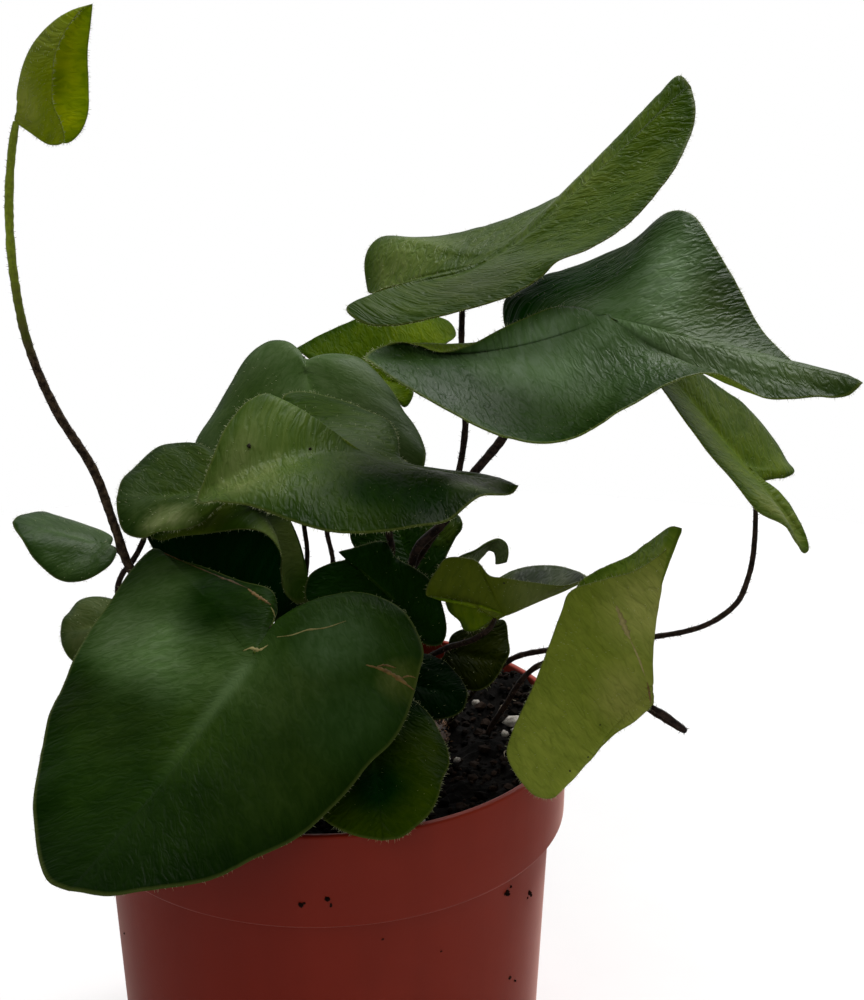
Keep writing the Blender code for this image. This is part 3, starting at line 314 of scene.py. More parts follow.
            (43.2, -8.4, 44.5), (46.2, -6.4, 47), (48.2, -5.5, 49)],
        foot=(30, -2), width=(1.1, 1.1),
        stipe=[(46.4, -42.9, 52.5), (49.2, -45, 51.5), (50.4, -46, 49), (48.8, -45.2, 46), (43, -41.6, 38),
            (34, -36, 30), (27, -32.6, 26), (22.6, -32.6, 24.5), (18.8, -35, 22.5), (14.6, -41.2, 19)]),
    # The dark frond in the shade behind the front one's right lobe
    "inner_dark": dict(
        joint=(-4.8, -22.4, 33), tip=(-18.6, -10.4, 30), bulge=(0.3, 0.3),
        side_1=[(-2, -28.4, 35), (1.6, -28.8, 34.5), (2.8, -26.4, 34), (2, -21, 32), (-0.4, -16.2, 31),
            (-4.2, -13.4, 30.5), (-7.2, -11.6, 30), (-9.4, -8.4, 29.5), (-13.4, -9, 29.5),
            (-16, -9.8, 29.8)],
        side_2=[(-4.4, -27, 36), (-9.4, -28.6, 37), (-15.4, -27.6, 36), (-21.4, -24.4, 34),
            (-25.2, -19.8, 31), (-24.4, -15.2, 29.3), (-20.6, -12.8, 29), (-17, -11.8, 29.6)],
        foot=(5.5, -2.8), width=(1, 0.9),
        stipe=[(-5, -25, 29), (-8, -34, 22)]),
    # The olive frond behind the thick stipe
    "inner_olive": dict(
        joint=(-2.8, -16.6, 17), tip=(-9.4, 1, 7), bulge=(0.5, 0.5),
        side_1=[(-0.2, -17.6, 17.5), (1.8, -14.4, 16.5), (2.8, -11.2, 15), (4.6, -7.6, 13), (6, -5.2, 12),
            (4.8, -2.6, 10), (-0.4, -0.2, 8)],
        side_2=[(-5.4, -17, 17.5), (-9.4, -14, 15.5), (-13.2, -11.2, 13.5), (-15.4, -9.4, 12),
            (-16.4, -6.6, 10.5), (-16, -3, 9), (-13.2, 0, 7.5)],
        foot=(10, 2.6), width=(1, 0.9),
        stipe=[(-3.6, -20, 15.5), (-8, -32, 14)]),
    # The olive frond right of the middle, folded with its underside to the front
    "folded": dict(
        joint=(12.6, -23.8, 33), tip=(31.4, -16, 36), rib_bow=(-0.6, 0, 0), bulge=(0.4, 0.2),
        side_1=[(10.6, -22.6, 33.5), (6.6, -20.4, 34), (2.6, -20, 34), (-1, -19.2, 33),
            (-0.8, -17.2, 32.5), (0.8, -14.4, 32.5), (2.8, -11.8, 32.5), (6, -11.6, 33),
            (9.2, -12.4, 33.5), (11.6, -15.2, 35), (14.6, -15.7, 36), (19.6, -16.4, 37),
            (25.6, -17, 37.5)],
        side_2=[(11.2, -25, 31.5), (9, -26, 29.5), (6.6, -26, 28), (5.6, -24.2, 27), (3.4, -22, 26.5),
            (2.8, -18, 26), (4.6, -14, 26), (8.6, -13.6, 26), (12, -16, 26.5), (16, -14, 27),
            (19.6, -13.2, 27), (24.8, -13.2, 28), (28.4, -14, 31)],
        foot=(17.5, -1.4), width=(1.2, 1),
        stipe=[(11.4, -25.8, 34.4), (8, -28, 32), (2, -30, 27.5), (-3, -34, 22)]),
    # The small dark olive frond over the soil, right of the middle
    "inner_right": dict(
        joint=(3, -30.4, 25), tip=(14.4, -32.8, 27), bulge=(0.4, 0.4),
        side_1=[(1.6, -32.6, 26), (3.2, -35.4, 28), (6, -37.4, 29), (9.2, -38, 29.5), (11.8, -36.6, 29),
            (13.4, -34.6, 28)],
        side_2=[(4.2, -27, 23.5), (8.4, -25.4, 22), (12, -24.6, 21.5), (14.4, -24.2, 22), (15.2, -28, 24),
            (15.4, -30.6, 26)],
        foot=(14.5, 2.6), width=(0.9, 0.8),
        stipe=[(2.2, -33, 22), (0.5, -39, 17.5)]),
    # The smallest frond, dark, beside the front one's right edge
    "inner_small": dict(
        joint=(-7.4, -36, 33), tip=(7, -39.6, 37), bulge=(0.4, 0.4),
        side_1=[(-8, -38.6, 34.5), (-6.4, -41.4, 36.5), (-3.4, -43.2, 38), (0.6, -43.8, 39),
            (4.6, -43, 39), (6.4, -41.6, 38)],
        side_2=[(-7.6, -33.6, 31.5), (-5, -31.4, 30), (-1.4, -30.8, 29.5), (2.6, -32.6, 31),
            (5.4, -35.2, 33), (6.8, -37.8, 35.5)],
        foot=(9.5, -3.4), width=(0.9, 0.8),
        stipe=[(-9, -38.4, 29)]),
    # The frond that leans over the rim at the front
    "over_rim": dict(
        joint=(-12.4, -40, 40), tip=(-10, -68, 61.5), bulge=(1, 1),
        side_1=[(-15.4, -42, 42), (-19.4, -48, 46.5), (-22, -54.6, 51.5), (-22.8, -60, 56),
            (-21.6, -63.6, 58.5), (-18.6, -65.8, 60), (-14.6, -67.3, 61)],
        side_2=[(-9.4, -38.6, 40), (-4.4, -40, 42), (-0.4, -43.2, 45), (1.6, -47, 48), (3, -50.4, 51),
            (3.3, -52.8, 53), (1.9, -56, 56), (1.1, -59.4, 58.5), (-0.6, -62.8, 60), (-3.4, -65.4, 61),
            (-6.2, -67.3, 61.5)],
        foot=(1.5, -3.2), width=(1, 0.9),
        stipe=[(-13.6, -42, 33)]),
    # The grey green frond at the back left, its two lobes upward
    "back_left": dict(
        joint=(-25.8, 28.6, 10), tip=(-20.4, 3, 27), bulge=(1.5, 1.5),
        side_1=[(-27, 30.4, 8), (-29.4, 31.8, 6), (-32.4, 31.9, 5), (-34.8, 30.6, 4.5), (-37.4, 27.6, 5),
            (-40.4, 23, 6), (-44.4, 16, 8), (-47.2, 10.8, 10), (-46.4, 6.6, 13), (-41.4, 2.6, 18),
            (-31.4, 1, 24)],
        side_2=[(-24.8, 28.2, 10), (-22.4, 28.8, 9), (-19.4, 29.2, 9), (-16.4, 28.7, 9.5),
            (-14, 27.8, 10.5), (-11.4, 25.6, 12), (-8.4, 22, 14), (-6, 18.4, 16), (-3.4, 15, 18),
            (-1.8, 11.6, 20), (-1.4, 8.6, 22), (-2.6, 5, 24), (-9.4, 1.6, 26)],
        foot=(-6.5, 3.6), width=(1, 0.9),
        stipe=[(-25, 23, 5.5), (-22, 5, 14), (-21, -6.4, 16.5), (-19.8, -13.6, 16)]),
    # The yellow green frond furthest back
    "back_top": dict(
        joint=(-6.4, 23, 2), tip=(-27.2, 30.4, -4), bulge=(1, 0.5),
        side_1=[(-3, 26, 2), (2.8, 31.2, -2), (4.7, 33.4, -6), (3.4, 35.6, -8), (-0.4, 37, -10),
            (-6.4, 38, -11), (-13.4, 36.8, -10), (-17.4, 35, -9), (-22.4, 32.8, -7)],
        side_2=[(-3.8, 22, 4), (-5.4, 18.6, 6), (-8, 20.6, 5), (-12.4, 22, 4), (-20.4, 25.4, 1)],
        foot=(-2, 3.4), width=(1, 0.9),
        stipe=[(-6.8, 18, 1), (-8, 5, 4), (-12, -12, 6)]),
    # The frond rolled like a hood behind the front one, its dark upper surface inside
    "hood": dict(
        joint=(-57.2, -6.8, 19), tip=(-24.4, -20, 22), rib_bow=(5, 12.4, -6), bulge=(-1.5, 0),
        side_1=[(-55.6, -10, 15), (-52, -16, 11), (-46, -21, 9), (-38, -24, 10), (-30, -24, 14)],
        side_2=[(-54.4, -8, 20.5), (-50.4, -7.1, 22.5), (-46.4, -6.6, 24), (-38.4, -5.8, 26),
            (-34, -6.4, 26.5), (-31.4, -8.2, 27), (-29.8, -11.2, 27), (-30, -15, 26.5),
            (-29.4, -18.4, 25.5), (-27, -20.6, 24)],
        foot=(-15.5, -1), width=(1.2, 1.1),
        stipe=[(-58.6, -10, 17.5), (-60.2, -12.6, 16.2), (-61.8, -14.6, 15.2), (-62.9, -17.8, 14.5),
            (-61.5, -23, 14.5), (-54, -31, 14)]),
}

# The narrow blade curled over at its end, behind the folded frond
CURL = dict(
    joint=(2.2, -16, 23.6),
    centre=[(2.6, -14.6, 24), (5.4, -12.6, 25), (8.2, -11.4, 26), (10.4, -9.6, 27), (12.4, -8.6, 28),
            (14, -9.4, 29), (14.4, -11, 29.5), (14.2, -12.6, 29.5)],
    half_width=3.1, across=[(-0.3, 0.5, 0.7), (0.05, 0.5, 0.7), (0.5, 0.15, 0.7)],
    foot=(18.5, 2.8), width=(0.9, 0.8), stipe=[(1.6, -18, 22), (-3, -30, 16)])
CURL_ENDS = (0.06, 0.91)
CURL_STEPS = 56
CURL_WIDTHS = 9
CURL_LENGTH = 26
CURL_HAIRS = 90

# How finely each size of blade is divided: spokes round its margin, rings from hub to margin
BIG = (340, 48)
MEDIUM = (220, 32)
SMALL = (130, 18)

# Each blade: its size, its upper side's colour near the joint and near the tip, and its
# underside's. tones and under_tones lie over them: millimetres ahead of the joint and to its side,
# reach, colour. Some of the upper faces' paler, greyer colours and tones are painted sheen, as
# marked below. dull places have less shine. soft is how widely the folds are softened, as a share
# of the blade, and ridge is the ridges' height. margin darkens each upper face towards its edge as
# painted shade. fringe hairs stand on a millimetre of margin, and up and down are the hairs on the
# whole of each side.
LOOKS = {
    # Its bright upper colours are partly the young blade's own pale lime and partly painted light shining
    # through it
    "young": dict(size=MEDIUM, near=(166, 178, 6), far=(174, 187, 6), under=(107, 121, 6),
        under_tones=[(15, -4, 4, (100, 112, 24)), (3, -3, 4, (122, 132, 44))],
        wrinkle=0.4, soft=0, fringe=5, down=500, shine=0.02),
    "left_low": dict(size=SMALL, near=(48, 68, 29), far=(40, 62, 21), under=(66, 84, 36), ridge=0.03,
        up=60, shine=0.07, wrinkle=0.2),
    "top": dict(size=BIG, near=(54, 72, 14), far=(64, 84, 4), under=(90, 106, 34),
        tones=[(-5, -16, 9, (88, 104, 46)), (0, 14, 8, (50, 64, 18)), (37, 9, 7, (62, 80, 8)),
            (28, -2, 8, (78, 94, 26))],
        ridge=0.11, fringe=4, up=300, shine=0.05),
    # Its grey-green near colour and its palest grey tones, at (-4, 13) and (12, -12), are painted sheen
    "upper_right": dict(size=BIG, near=(92, 118, 76), far=(74, 92, 44), under=(104, 124, 34),
        tones=[(-11, 27, 9, (62, 84, 52)), (-21, 25, 6, (36, 56, 16)), (-4, 13, 9, (112, 138, 98)),
            (0, 28, 9, (54, 72, 42)), (16, 12, 10, (58, 80, 44)), (11, 24, 10, (46, 66, 28)),
            (12, -12, 7, (110, 134, 96)), (25, 0, 9, (68, 86, 50)), (23, -12, 7, (66, 84, 38)),
            (1, -13, 8, (38, 76, 6)), (3, -23, 6, (50, 78, 16)), (-11, -11, 9, (24, 84, 0))],
        dull=[(8, 27, 13), (-20, 25, 8), (-6, -14, 13), (4, -22, 7)],
        # Its margin is darkened from 0.6 of the way out, as painted shade
        margin=(0.6, (0.26, 0.36, 0.14)), ridge=0.09, fringe=4, up=300, wrinkle=0.42),
    "middle": dict(size=BIG, near=(56, 76, 20), far=(36, 50, 2), under=(84, 100, 30),
        tones=[(-9, 15, 8, (74, 95, 30)), (-7, 22, 8, (88, 101, 52)), (14, 13, 8, (16, 38, 1)),
            # The pale grey tone at (27, 3), at the tip, is painted sheen
            (22, 12, 8, (8, 28, 0)), (10, 23, 5, (36, 56, 8)), (27, 3, 4, (90, 97, 78)),
            (-11, -9, 6, (42, 60, 12))],
        dull=[(18, 12, 13), (-12, -9, 7)],
        ridge=0.07, fringe=4, up=300, shine=0.05, wrinkle=0.35),
    "left": dict(size=MEDIUM, near=(46, 62, 13), far=(33, 51, 6), under=(66, 84, 26),
        tones=[(12, -9, 5, (102, 112, 68)), (19, -1, 5, (46, 62, 26))],
        ridge=0.04, fringe=5, up=150, shine=0.05, wrinkle=0.25),
    "right_hanging": dict(size=MEDIUM, near=(76, 94, 12), far=(60, 77, 10), under=(104, 120, 40),
        tones=[(-6, -9, 6, (96, 106, 46)), (10, 9, 5, (76, 92, 30))],
        down=100, up=60, shine=0.06, wrinkle=0.3),
    "left_small": dict(size=SMALL, near=(65, 76, 37), far=(63, 74, 35), under=(80, 92, 46), ridge=0.02,
        up=30, shine=0.07, wrinkle=0.15),
    "front": dict(size=BIG, near=(34, 58, 9), far=(18, 38, 2), under=(76, 94, 28),
        # The pale greyish tones at (12, 14) and (10, 27) are painted sheen on the upper-left lobe
        tones=[(12, 14, 11, (78, 100, 60)), (10, 27, 8, (70, 88, 54)), (3, 8, 8, (14, 34, 3)),
            (-2, 15, 8, (16, 36, 4)), (2, 25, 7, (54, 74, 36)), (12, 2, 9, (58, 80, 36)),
            (13, -12, 9, (48, 68, 24)), (-1, -13, 7, (64, 88, 50)), (27, -20, 11, (38, 58, 14)),
            (24, -1, 8, (40, 62, 12)), (28, 13, 9, (26, 44, 6)), (12, -24, 8, (44, 68, 28)),
            (1, -27, 4, (76, 86, 40)), (27, 24, 6, (22, 38, 4))],
        dull=[(0, 11, 8)], wrinkle=0.24, rib=1.5, vein=(84, 104, 68), ridge=0.08, fringe=1, shine=0.03),
    "right_front": dict(size=BIG, near=(104, 120, 34), far=(107, 124, 41), under=(109, 121, 39),
        under_tones=[(-12, 16, 10, (126, 137, 50)), (24, -4, 8, (110, 126, 42)),
            (16, 3, 7, (142, 147, 72)), (1, 4, 5, (128, 132, 60))],
        soft=0, ridge=0.09, down=400, shine=0.03),
    "inner_dark": dict(size=SMALL, near=(14, 38, 3), far=(12, 37, 2), under=(30, 52, 6), fringe=2,
        up=30, shine=0.02),
    "inner_olive": dict(size=SMALL, near=(16, 39, 1), far=(18, 40, 1), under=(40, 58, 4),
        tones=[(9, 9, 4, (46, 60, 10))], fringe=2, up=30, shine=0.02),
    # Its grey far colour and the grey tone at (8, -6) are painted sheen on the far half's upper face
    "folded": dict(size=MEDIUM, near=(98, 118, 8), far=(48, 53, 43), under=(82, 94, 15),
        tones=[(8, -6, 6, (62, 69, 57))], under_tones=[(9, 2, 5, (98, 108, 50))], soft=0, down=150,
        wrinkle=0.3),
    "inner_right": dict(size=SMALL, near=(18, 23, 1), far=(30, 36, 2), under=(60, 72, 10), fringe=2,
        up=30, shine=0.01),
    "inner_small": dict(size=SMALL, near=(2, 28, 1), far=(2, 28, 1), under=(34, 50, 6), fringe=2,
        up=30, shine=0.02),
    "over_rim": dict(size=MEDIUM, near=(4, 33, 2), far=(60, 77, 1), under=(62, 78, 8),
        tones=[(19, 0, 7, (4, 36, 3)), (14, -10, 6, (40, 56, 1))],
        ridge=0.07, up=60, shine=0.02),
    "back_left": dict(size=MEDIUM, near=(66, 86, 46), far=(56, 70, 34), under=(64, 82, 24),
        tones=[(5, 14, 8, (48, 68, 22)), (21, -16, 7, (58, 74, 40))],
        ridge=0.02, fringe=2, up=80, shine=0.05, wrinkle=0.1),
    "back_top": dict(size=MEDIUM, near=(68, 86, 3), far=(52, 72, 1), under=(72, 92, 4),
        tones=[(1, 14, 6, (86, 104, 6))], fringe=2, up=60, shine=0.01, wrinkle=0.3),
    "hood": dict(size=MEDIUM, near=(3, 36, 6), far=(3, 36, 6), under=(36, 58, 5),
        under_tones=[(23, -7, 6, (82, 96, 44)), (8, -5, 5, (80, 98, 20)), (15, -9, 4, (26, 42, 3))],
        soft=0, fringe=2, down=100, shine=0.01, wrinkle=0.3),
    "curl": dict(near=(100, 113, 74), far=(100, 113, 74), under=(96, 110, 60)),
}
# margin darkens each upper face towards its edge by a tint, as painted shade
PLAIN_LOOK = dict(tones=(), under_tones=(), dull=(), soft=0.12, ridge=0.05, fringe=3, down=0, up=0,
                  shine=0.10, wrinkle=0.5, rib=1.1, vein=None, margin=(0.84, (0.52, 0.64, 0.34)))
LOOKS = {name: {**PLAIN_LOOK, **look} for name, look in LOOKS.items()}
LIGHT_BLADES = ("young", "back_top", "right_front")


def seen(red, green, blue):
    """The linear colour of a screen colour from 0 to 255."""
    share = np.array([red, green, blue]) / 255
    return tuple(np.where(share < 0.04045, share / 12.92, ((share + 0.055) / 1.055) ** 2.4))


# What the hollows and the crests of the wrinkles and of the wider blotches do to the colour: on both
# faces painted shade darkens the wrinkles' hollows and painted sheen pales and greys their crests;
# on the upper faces the blotches are partly the leaf's mottling and partly painted sheen
MOTTLE_AND_SHADE_TINT = (0.84, 0.90, 0.76)
WRINKLE_SHEEN_TINT, MOTTLE_AND_SHEEN_TINT = (1.12, 1.09, 1.16), (1.12, 1.08, 1.16)
UNDER_WRINKLE_SHADE_AND_SHEEN = ((0.92, 0.94, 0.88), (1.06, 1.05, 1.08))
UNDER_BLOTCH = ((0.91, 0.93, 0.89), (1.06, 1.05, 1.06))
BROWN_EDGE = seen(80, 82, 34)
DULLED_SHINE = 0.16

# Materials of two tones mixed by noise: the tones, the roughness, the noise's scale, and where it
# isn't as in PLAIN_GRAIN the strength and depth of the relief, and the shine
PLAIN_GRAIN = dict(bump=0.3, depth=0.0003, shine=0.4)
GRAINY = {
    "pale_hair": dict(low=seen(150, 158, 110), high=seen(190, 194, 150), rough=0.6, scale=400),
    "brown_scale": dict(low=seen(50, 36, 28), high=seen(130, 108, 86), rough=0.6, scale=300),
    "rhizome_bark": dict(low=seen(26, 17, 12), high=seen(64, 44, 30), rough=0.8, scale=420,
                         bump=0.7, depth=0.0006),
    "rhizome_scale": dict(low=seen(60, 38, 24), high=seen(120, 84, 52), rough=0.7, scale=300),
    "perlite_white": dict(low=seen(96, 88, 80), high=seen(186, 180, 170), rough=0.9, scale=900,
                          bump=0.5),
    "root_white": dict(low=seen(96, 84, 66), high=seen(150, 138, 116), rough=0.8, scale=500),
    "mark_straw": dict(low=seen(126, 116, 64), high=seen(156, 146, 92), rough=0.7, scale=900),
    "mark_rust": dict(low=seen(82, 58, 24), high=seen(126, 98, 50), rough=0.7, scale=900),
    "mark_umber": dict(low=seen(44, 29, 9), high=seen(78, 56, 24), rough=0.7, scale=900),
    "mark_dark": dict(low=seen(16, 14, 8), high=seen(40, 32, 16), rough=0.8, scale=900),
    "floor_pale": dict(low=(0.84, 0.84, 0.84), high=(0.88, 0.88, 0.88), rough=0.85, scale=6,
                       bump=0.02, shine=0.2),
}
SOILS = {
    "potting_mix": (seen(4, 3, 2), seen(15, 11, 8)),
    "soil_crumb": (seen(5, 4, 3), seen(42, 30, 22)),
    "dirt": (seen(26, 16, 12), seen(58, 34, 26)),
}
POT_COLOUR = seen(117, 27, 8)
# Painted light: the plastic is made lighter on its east side, as if lit from there: from and to in metres,
# and what that does to the colour
EAST_LIGHT_SPAN = (-0.012, 0.040)
EAST_LIGHT_TINT = (1.55, 1.75, 1.35)

# Grains, root hairs and dirt that show between the fronds, at pixels of the photograph
PERLITE = [((476, 703), 1.8), ((514, 722), 3.4), ((505, 734), 1.8), ((457, 760), 1.5)]
ROOT_HAIRS = [
    [(531, 668), (522, 682), (508, 694), (499, 710)],
    [(503, 690), (513, 700), (526, 703)],
]
DIRT_SPOTS = [((303, 905), 1.1), ((327, 900), 1.3), ((330, 906), 0.7), ((506, 892), 1.5),
              ((510, 887), 0.8), ((529, 893), 1.3), ((527, 899), 0.9), ((510, 977), 1.3),
              ((514, 981), 0.7), ((441, 951), 0.6), ((382, 940), 0.5)]

# Marks on the blades: the face, the pixels that the mark runs through, its width and its colour
MARKS = [
    ("front", "top", [(243, 651), (251, 648), (259, 650), (268, 645)], 0.9, "straw"),
    ("front", "top", [(277, 637), (292, 635), (307, 630), (324, 628), (346, 621)], 0.55, "straw"),
    ("front", "top", [(366, 665), (378, 668), (390, 673), (401, 680), (414, 690)], 1.2, "rust"),
    ("front", "top", [(374, 668), (384, 665), (396, 668)], 0.7, "rust"),
    ("front", "top", [(398, 680), (408, 676), (416, 678)], 0.5, "rust"),
    ("front", "top", [(164, 553), (182, 561), (206, 571), (230, 581), (250, 589)], 0.5, "umber"),
    ("front", "top", [(214, 574), (222, 578), (232, 581), (240, 585)], 1.0, "umber"),
    ("front", "top", [(248, 589), (256, 595), (264, 600), (271, 605)], 1.3, "rust"),
    ("front", "top", [(271, 607), (274, 613), (275, 619)], 0.6, "straw"),
    ("right_front", "bottom", [(616, 606), (620, 615), (624, 626), (630, 639)], 1.8, "straw"),
    ("right_front", "bottom", [(630, 639), (635, 650), (640, 662), (645, 676)], 0.5, "straw"),
    ("right_front", "bottom", [(647, 682), (649, 690), (650, 697), (651, 704)], 0.6, "rust"),
]
MARK_TONES = ("straw", "rust", "umber")
MARK_RISE = (0.05, 0.12)
MARK_UNEVEN = (0.6, 1.3)
MARK_SIDE_SINK, MARK_SINK = 0.06, 0.12
SPOTS = [
    ("middle", "top", (249, 446), 0.4), ("middle", "top", (310, 449), 0.3),
    ("right_front", "bottom", (600, 725), 0.15), ("right_front", "bottom", (588, 757), 0.18),
    ("right_front", "bottom", (570, 771), 0.15), ("folded", "bottom", (504, 583), 0.2),
]

# Light: a softbox over the plant, a little behind it, a wide fill in front, and air that is bright
# low down behind the plant and dim overhead. Each has its place, size and power.
LIGHT_AIM = Vector((0, 0, 0.1))
SOFTBOX = ((0.36, 0.50, 1.28), 0.9, 19.0)
FILL = ((-0.35, -0.95, 0.75), 1.2, 4.5)
BRIGHT_AIR = 0.7
DIM_AIR = 0.08
AIR_TOP = (0.90, 0.72)
AIR_BACK = (-0.2, 0.3)
AIR_GROUND = (-0.25, 0.0)
FLOOR_RADII = (0, 100, 200, 300, 420)
FLOOR_DROP = 0.02
FLOOR_SIDES = 96


def place(across, up, near):
    """The point of the part's frame, in millimetres, for a place on the drawing."""
    ray = FORWARD + across / SHEET_REACH * ACROSS + up / SHEET_REACH * UPWARD
    return EYE + (SHEET_REACH - near) * ray


def placed(points):
    return np.array([place(*point) for point in points])


def curve_through(points, steps):
    """The centripetal Catmull-Rom curve through points, each of its spans in its own steps."""
    points = np.asarray(points, float)
    ends = np.vstack([2 * points[0] - points[1], points, 2 * points[-1] - points[-2]])
    pieces = []
    for p0, p1, p2, p3, count in zip(ends, ends[1:], ends[2:], ends[3:], steps):
        t1 = np.linalg.norm(p1 - p0) ** 0.5
        t2 = t1 + np.linalg.norm(p2 - p1) ** 0.5
        t3 = t2 + np.linalg.norm(p3 - p2) ** 0.5
        t = np.linspace(t1, t2, count + 1)[:-1, None]
        a1 = (t1 - t) / t1 * p0 + t / t1 * p1
        a2 = (t2 - t) / (t2 - t1) * p1 + (t - t1) / (t2 - t1) * p2
        a3 = (t3 - t) / (t3 - t2) * p2 + (t - t2) / (t3 - t2) * p3
        b1 = (t2 - t) / t2 * a1 + t / t2 * a2
        b2 = (t3 - t) / (t3 - t1) * a2 + (t - t1) / (t3 - t1) * a3
        pieces.append((t2 - t) / (t2 - t1) * b1 + (t - t1) / (t2 - t1) * b2)
    return np.vstack(pieces + [points[-1:]])


def run_along(points):
    return np.concatenate([[0], np.cumsum(np.linalg.norm(np.diff(points, axis=0), axis=1))])


def interpolated(at, run, rows):
    """The rows at places along a run."""
    return np.column_stack([np.interp(at, run, column) for column in rows.T])


def spline(points, count):
    """count points, evenly spaced, along the curve through points."""
    dense = curve_through(points, [12] * (len(points) - 1))
    run = run_along(dense)
    return interpolated(np.linspace(0, run[-1], count), run, dense)


def margin_side(points, count):
    """count + 1 points, evenly spaced along one side of the margin, and their share of it as the
    part counts it."""
    spans = np.linalg.norm(np.diff(points, axis=0), axis=1)
    dense = curve_through(points, np.ceil(spans / MARGIN_STEP).astype(int) * 8)
    run = run_along(dense)
    at = np.linspace(0, run[-1], count + 1)
    return interpolated(at, run, dense), np.interp(at, run, np.linspace(0, 1, len(dense)))


def unit(vectors):
    """The vectors, or the one vector, at length 1."""
    return vectors / np.maximum(np.linalg.norm(vectors, axis=-1, keepdims=True), 1e-9)


def blended(value_at, across, up):
    """The values at the corners of the unit squares, run smoothly into each other."""
    low_across, low_up = np.floor(across).astype(int), np.floor(up).astype(int)
    part_across, part_up = ((value - low) ** 2 * (3 - 2 * (value - low))
                            for value, low in ((across, low_across), (up, low_up)))
    low, high = (value_at(low_across, row) * (1 - part_across)
                 + value_at(low_across + 1, row) * part_across for row in (low_up, low_up + 1))
    return low * (1 - part_up) + high * part_up


def closed_noise(turn, height, cells_round, cells_up, seed):
    """Smooth noise from -1 to 1. turn goes round from 0 to 1 and closes, height goes from 0 to 1."""
    table = np.random.default_rng(seed).uniform(-1, 1, (cells_round, cells_up + 2))
    return blended(lambda column, row: table[column % cells_round, row],
                   (turn % 1.0) * cells_round, np.clip(height, 0, 1) * cells_up)


def open_noise(across, along, seed):
    """Smooth noise from -1 to 1 over a plane, with one random value for each unit square."""
    table = np.random.default_rng(seed).uniform(-1, 1, (251, 61))
    return blended(lambda column, row: table[column % 251, row % 61], across, along)


def smooth_step(low, high, value):
    share = np.clip((value - low) / (high - low), 0, 1)
    return share * share * (3 - 2 * share)


def surface_normals(grid, upper):
    """Unit normals of a closed fan of points by ring and spoke, towards the upper side."""
    outward = np.gradient(grid, axis=0)
    around = np.roll(grid, -1, axis=1) - np.roll(grid, 1, axis=1)
    normals = np.cross(outward, around)
    size = np.linalg.norm(normals, axis=2, keepdims=True)
    normals = np.where(size > 1e-9, normals / np.maximum(size, 1e-9), upper)
    normals[0] = upper
    return normals


def blade_margin(frond, spokes):
    """The margin as a closed line from the joint round by the tip, and how far round each of its
    points lies: from 0 to 1 on the first side, and on to 2 on the second."""
    side_1 = placed([frond["joint"]] + frond["side_1"] + [frond["tip"]])
    side_2 = placed([frond["tip"]] + frond["side_2"][::-1] + [frond["joint"]])
    length_1, length_2 = run_along(side_1)[-1], run_along(side_2)[-1]
    count_1 = int(round(spokes * length_1 / (length_1 + length_2)))
    line_1, share_1 = margin_side(side_1, count_1)
    line_2, share_2 = margin_side(side_2, spokes - count_1)
    return np.vstack([line_1[:-1], line_2[:-1]]), np.concatenate([share_1[:-1], 1 + share_2[:-1]])


def softened_fan(hub, margin, upper, bulge, rings, soft):
    """Points by ring and spoke from the hub to the margin, with the folds softened on the way in."""
    spokes = len(margin)
    reach = margin - hub
    height = reach @ upper
    flat = reach - height[:, None] * upper
    order = np.arange(spokes // 2 + 1)
    grid = np.zeros((rings + 1, spokes, 3))
    for ring, part in enumerate(np.linspace(0, 1, rings + 1)):
        waves = np.fft.rfft(height * part + bulge * 4 * part * (1 - part))
        width = soft / max(part, 0.01) * math.sqrt(1 - part)
        keep = np.exp(-0.5 * width ** 2 * np.maximum(order ** 2 - 1, 0))
        keep[0] = part * (1 + soft) / max(part + soft, 0.01)
        grid[ring] = hub + flat * part + np.fft.irfft(waves * keep, spokes)[:, None] * upper
    return grid


def blade_relief(ridge, seed, around, radial, vein_start, aside, perimeter):
    """How far each point stands out: low ridges along the veins, puckers and a wavy margin."""
    cells = max(8, int(perimeter / WAVE_LENGTH))
    patch_cells = max(6, int(perimeter / PATCH_LENGTH))
    def ridges(along, size, its_seed):
        return open_noise(along / size[0], aside / size[1], its_seed)

    bent = vein_start + BEND_BY * ridges(vein_start, RIDGE_BENDS, seed + 4)
    wrinkle = ridges(bent, FINE_RIDGES, seed)
    wrinkle = wrinkle + WIDE_SHARE * ridges(bent, WIDE_RIDGES, seed + 1)
    patches = PATCH_BASE + PATCH_MORE * closed_noise(around, radial, patch_cells, 3, seed + 5)
    puckers = PUCKER_SHARE * closed_noise(around, radial, cells, 4, seed + 2)
    waves = WAVE_HEIGHT * radial ** 5 * closed_noise(around, radial, cells * 2, 2, seed + 3)
    return ridge * smooth_step(*RELIEF_STARTS, radial) * (patches * wrinkle + puckers) + waves


